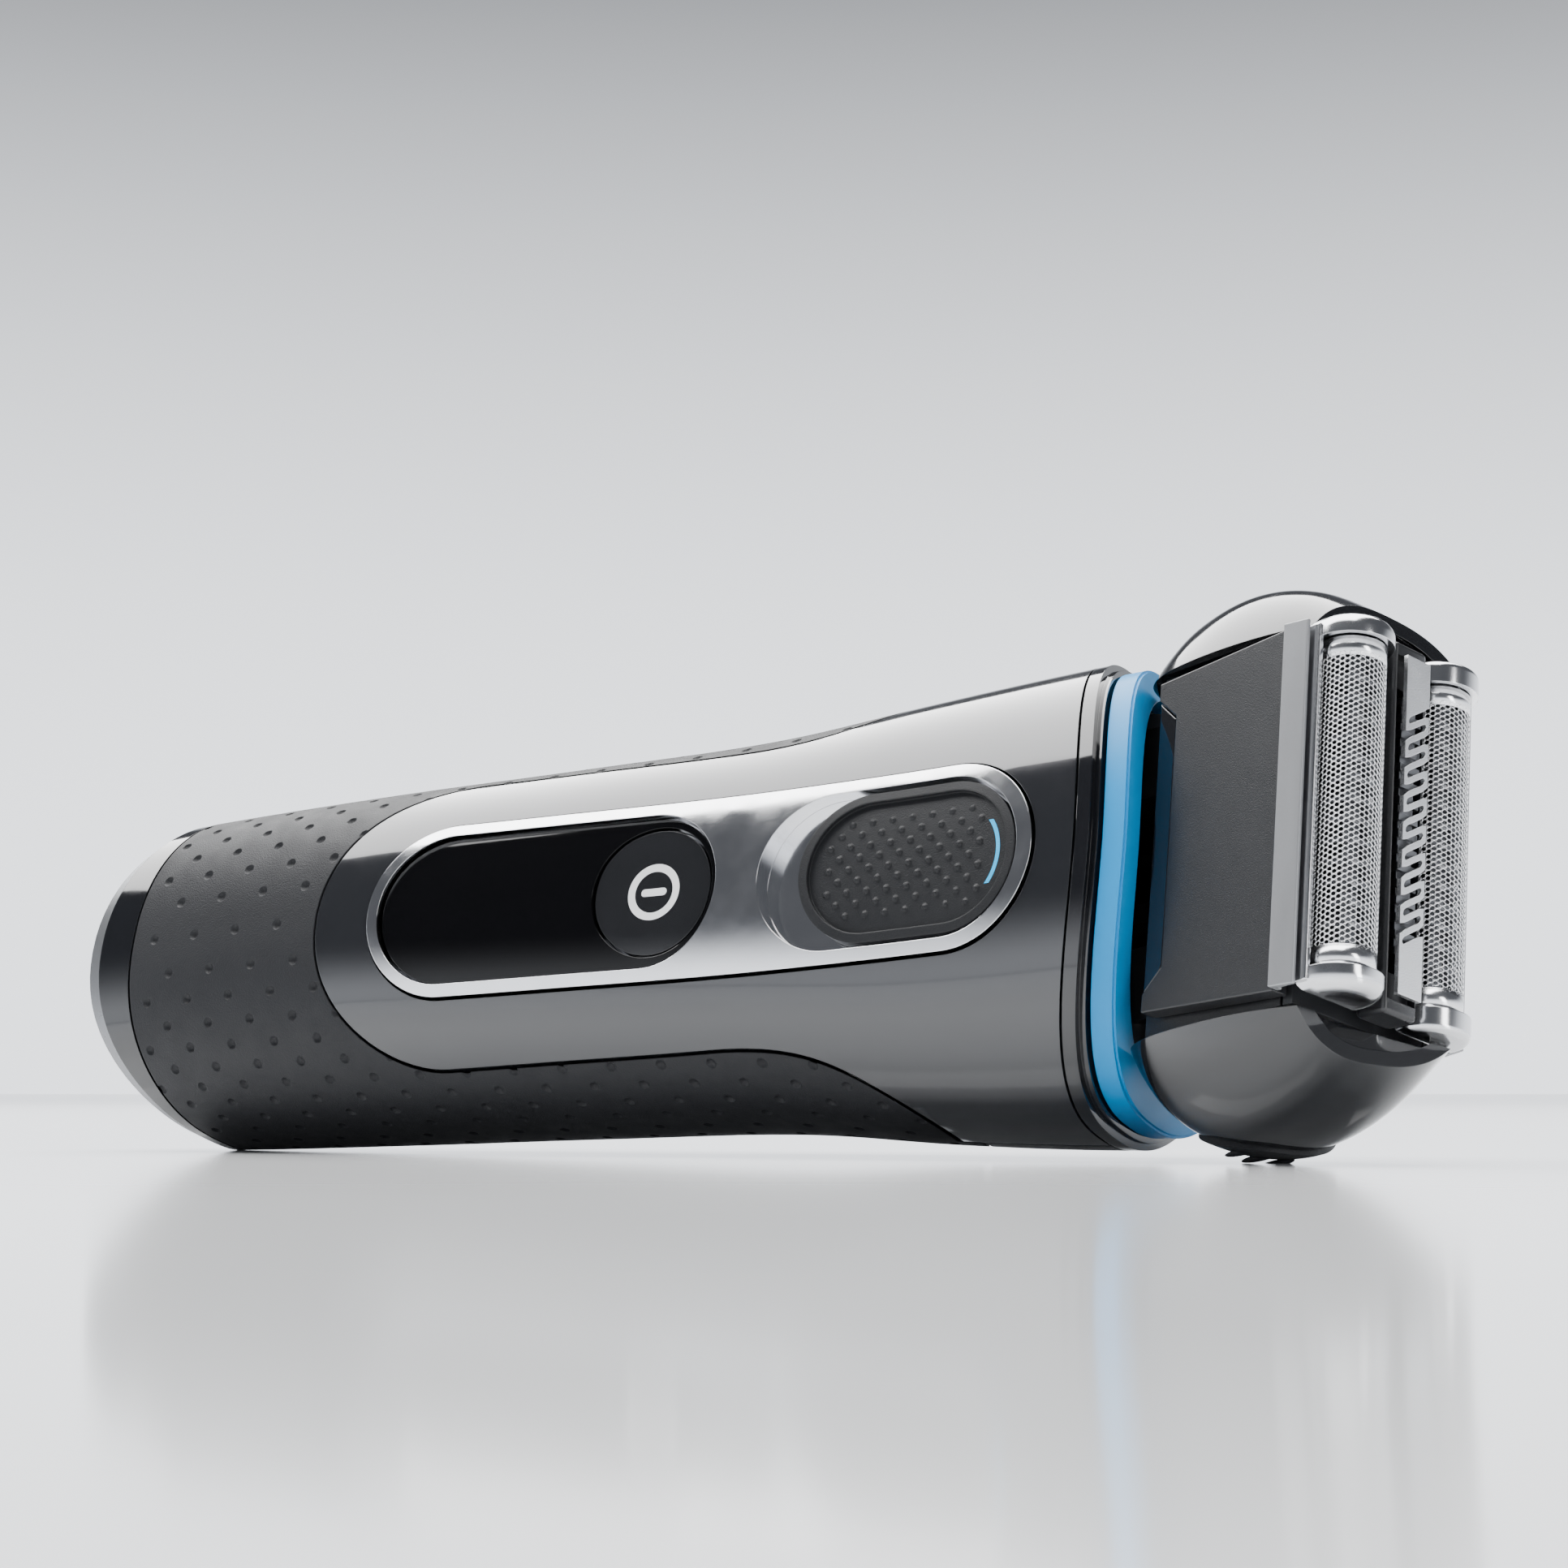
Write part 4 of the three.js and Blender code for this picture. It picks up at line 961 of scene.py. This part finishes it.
place(tray, "middle_tray", head_axes, "middle_trimmer", tray_black, "satin_black", ["middle_frame"])

half = middle["half_width"] - gap
length = middle["half_length"] - gap
guard = block((middle["top"] - middle["guard"], -length, -half), (middle["top"], length, half))
reach_y = length - middle["end_plate"]
pitch = 2 * reach_y / fingers
slot_width = 0.36
slant = math.radians(33)
slots = bmesh.new()
for i in range(fingers + 1):
    for sign in (1, -1):
        y = -reach_y + pitch * (i - (0.0 if sign > 0 else 0.5))
        if abs(y) > reach_y - 0.1:
            continue
        outline = []
        from_z, to_z = -half * 0.55, half + 1.2
        for t in range(13):
            turn = math.pi + math.pi * t / 12
            outline.append((slot_width * math.cos(turn), from_z + slot_width * math.sin(turn)))
        flare = slot_width * 1.5
        outline += [(slot_width, half * 0.6), (flare, half), (flare, to_z), (-flare, to_z), (-flare, half)]
        outline += [(-slot_width, half * 0.6)]
        tool = slab(outline, -1, 1)
        bmesh.ops.rotate(tool, verts=tool.verts, cent=(0, 0, 0), matrix=Matrix.Rotation(math.radians(90), 3, "Z"))
        for vert in tool.verts:
            a, b, c = vert.co
            vert.co = (middle["top"] + c, y + b + sign * a * math.tan(slant), sign * -a)
        bmesh.ops.recalc_face_normals(tool, faces=tool.faces)
        slot = bpy.data.meshes.new("slot")
        tool.to_mesh(slot)
        tool.free()
        slots.from_mesh(slot)
        bpy.data.meshes.remove(slot)
guard = cut(guard, slots)
guard_steel = finish(
    "guard_steel", (0.86, 0.865, 0.875), 0.24, head_axes, metallic=1.0, mottle=0.03, smudge=0.2, grain=0.06,
    grain_size=0.15, edge=0.06,
)
place(guard, "finger_guard", head_axes, "middle_trimmer", guard_steel, "foil_steel", ["middle_guard"])

# ---------------------------------------------------------------- long-hair trimmer slide
# Polished black slide in the back of the handle, with thumb ribs and rounded edges.

carriage = block(
    (trimmer["start"] + gap, -trimmer["half_width"] + gap, -19.4),
    (trimmer["end"] - 5, trimmer["half_width"] - gap, trimmer["floor_z"] - 0.2),
)
carriage = softened(carriage, 0.5, 4)
for i in range(4):
    x = 88 + 2.4 * i
    thumb_rib = softened(block((x, -7, -20.1), (x + 1, 7, -18.9)), 0.35, 3)
    carriage = joined(carriage, thumb_rib)
place(carriage, "trimmer_slide_piece", handle_axes, "trimmer", gloss_black, "gloss_black", ["trimmer_carriage"])

# ---------------------------------------------------------------- what shows inside and behind
# The pieces inside the housing, the cutters and the blades: moulded plastic, ground steel, brass,
# the motor's zinc-plated can, the cell's sleeve and the green circuit board.

inner_plastic = finish("inner_plastic", (0.045, 0.048, 0.053), 0.45, mottle=0.1, grain=0.2, grain_size=0.3)
dark_plastic = finish("dark_plastic", (0.014, 0.0145, 0.016), 0.36, head_axes, mottle=0.1, grain=0.2, grain_size=0.2)
ground_steel = finish(
    "ground_steel", (0.62, 0.63, 0.65), 0.22, metallic=1.0, mottle=0.05, grain=0.12, grain_size=0.1,
    stretch=(1, 12, 1),
)
cutter_steel = finish(
    "cutter_steel", (0.2, 0.205, 0.215), 0.3, head_axes, metallic=1.0, mottle=0.1, grain=0.2, grain_size=0.1,
)
can_steel = finish("can_steel", (0.55, 0.56, 0.57), 0.3, metallic=1.0, mottle=0.08, grain=0.1, grain_size=0.2, stretch=(12, 1, 1))
brass = finish("turned_brass", (0.6, 0.42, 0.13), 0.25, metallic=1.0, mottle=0.08, grain=0.06, grain_size=0.2, stretch=(1, 8, 8))
sleeve = finish("cell_sleeve", (0.03, 0.12, 0.3), 0.28, mottle=0.08, coat=0.3, grain=0.1, grain_size=0.6)
board = finish("solder_mask", (0.012, 0.1, 0.035), 0.3, mottle=0.15, coat=0.4, grain=0.3, grain_size=0.7)
cassette_grey = finish("cassette_black", (0.02, 0.021, 0.023), 0.34, head_axes, mottle=0.08, grain=0.15, grain_size=0.2)
for names, material in (
    (("charging_socket", "inner_chassis", "button_switch", "pivot_yoke"), inner_plastic),
    (("head_core", "drive_bridge"), dark_plastic),
    (("cassette_frame",), cassette_grey),
    (("socket_pin_left", "socket_pin_right", "motor_crank"), brass),
    (
        ("trimmer_fixed_blade", "trimmer_moving_blade", "pivot_pin_left", "pivot_pin_right"),
        ground_steel,
    ),
    (("cutter_front", "cutter_rear", "middle_comb"), cutter_steel),
    (("drive_motor",), can_steel),
    (("battery_cell",), sleeve),
    (("circuit_board",), board),
):
    for name in names:
        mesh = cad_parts[name].data
        mesh.materials.clear()
        mesh.materials.append(material)

for obj in shaped:
    weighted = obj.modifiers.new("even_shading", "WEIGHTED_NORMAL")
    weighted.keep_sharp = True

# ---------------------------------------------------------------- surface, light and camera
# A large pale surface of smooth plastic, lit from above by one broad soft lamp and by a pale sky
# that darkens overhead.

studio = bmesh.new()
bmesh.ops.create_circle(studio, cap_ends=True, segments=96, radius=15)
studio_mesh = bpy.data.meshes.new("pale_surface")
studio.to_mesh(studio_mesh)
studio.free()
studio_mesh.shade_smooth()
pale = finish("pale_surface", (0.88, 0.89, 0.9), 0.1, Matrix.Identity(4), mottle=0.01, smudge=0.05, edge=0.0)
studio_mesh.materials.append(pale)
surface = bpy.data.objects.new("pale_surface", studio_mesh)
bpy.context.scene.collection.objects.link(surface)


def lamp(name, place_at, look_at, size, power, colour=(1, 1, 1)):
    """A soft rectangular lamp turned towards a point."""
    data = bpy.data.lights.new(name, "AREA")
    data.shape = "RECTANGLE"
    data.size, data.size_y = size
    data.energy = power
    data.color = colour
    obj = bpy.data.objects.new(name, data)
    obj.location = place_at
    obj.rotation_euler = (Vector(look_at) - Vector(place_at)).to_track_quat("-Z", "Y").to_euler()
    bpy.context.scene.collection.objects.link(obj)


lamp("overhead", (-0.45, 0.3, 0.9), (-0.45, 0.3, 0), (1.5, 1.4), 60)
lamp("foil_light", (1.0, -0.35, 0.35), (0.06, 0, 0.03), (0.25, 0.6), 4)

world = bpy.data.worlds.new("studio")
world.use_nodes = True
sky, sky_links = world.node_tree.nodes, world.node_tree.links
direction = sky.new("ShaderNodeTexCoord")
height = sky.new("ShaderNodeSeparateXYZ")
sky_links.new(direction.outputs["Generated"], height.inputs["Vector"])
shade = sky.new("ShaderNodeValToRGB")
shade.color_ramp.interpolation = "EASE"
shade.color_ramp.elements[0].position = 0.06
shade.color_ramp.elements[0].color = (0.86, 0.89, 0.94, 1)
shade.color_ramp.elements[1].position = 0.42
shade.color_ramp.elements[1].color = (0.045, 0.047, 0.052, 1)
sky_links.new(height.outputs["Z"], shade.inputs["Fac"])
sky_links.new(shade.outputs["Color"], sky["Background"].inputs["Color"])
sky["Background"].inputs["Strength"].default_value = 2.5
bpy.context.scene.world = world

camera_data = bpy.data.cameras.new("camera")
camera_data.sensor_width = 36
camera_data.lens = 75.4
camera_data.clip_start = 0.01
camera = bpy.data.objects.new("camera", camera_data)
camera.location = (0.17586, -0.30701, 0.00676)
camera.rotation_euler = (math.radians(95.369), 0, math.radians(29.208))
bpy.context.scene.collection.objects.link(camera)
bpy.context.scene.camera = camera
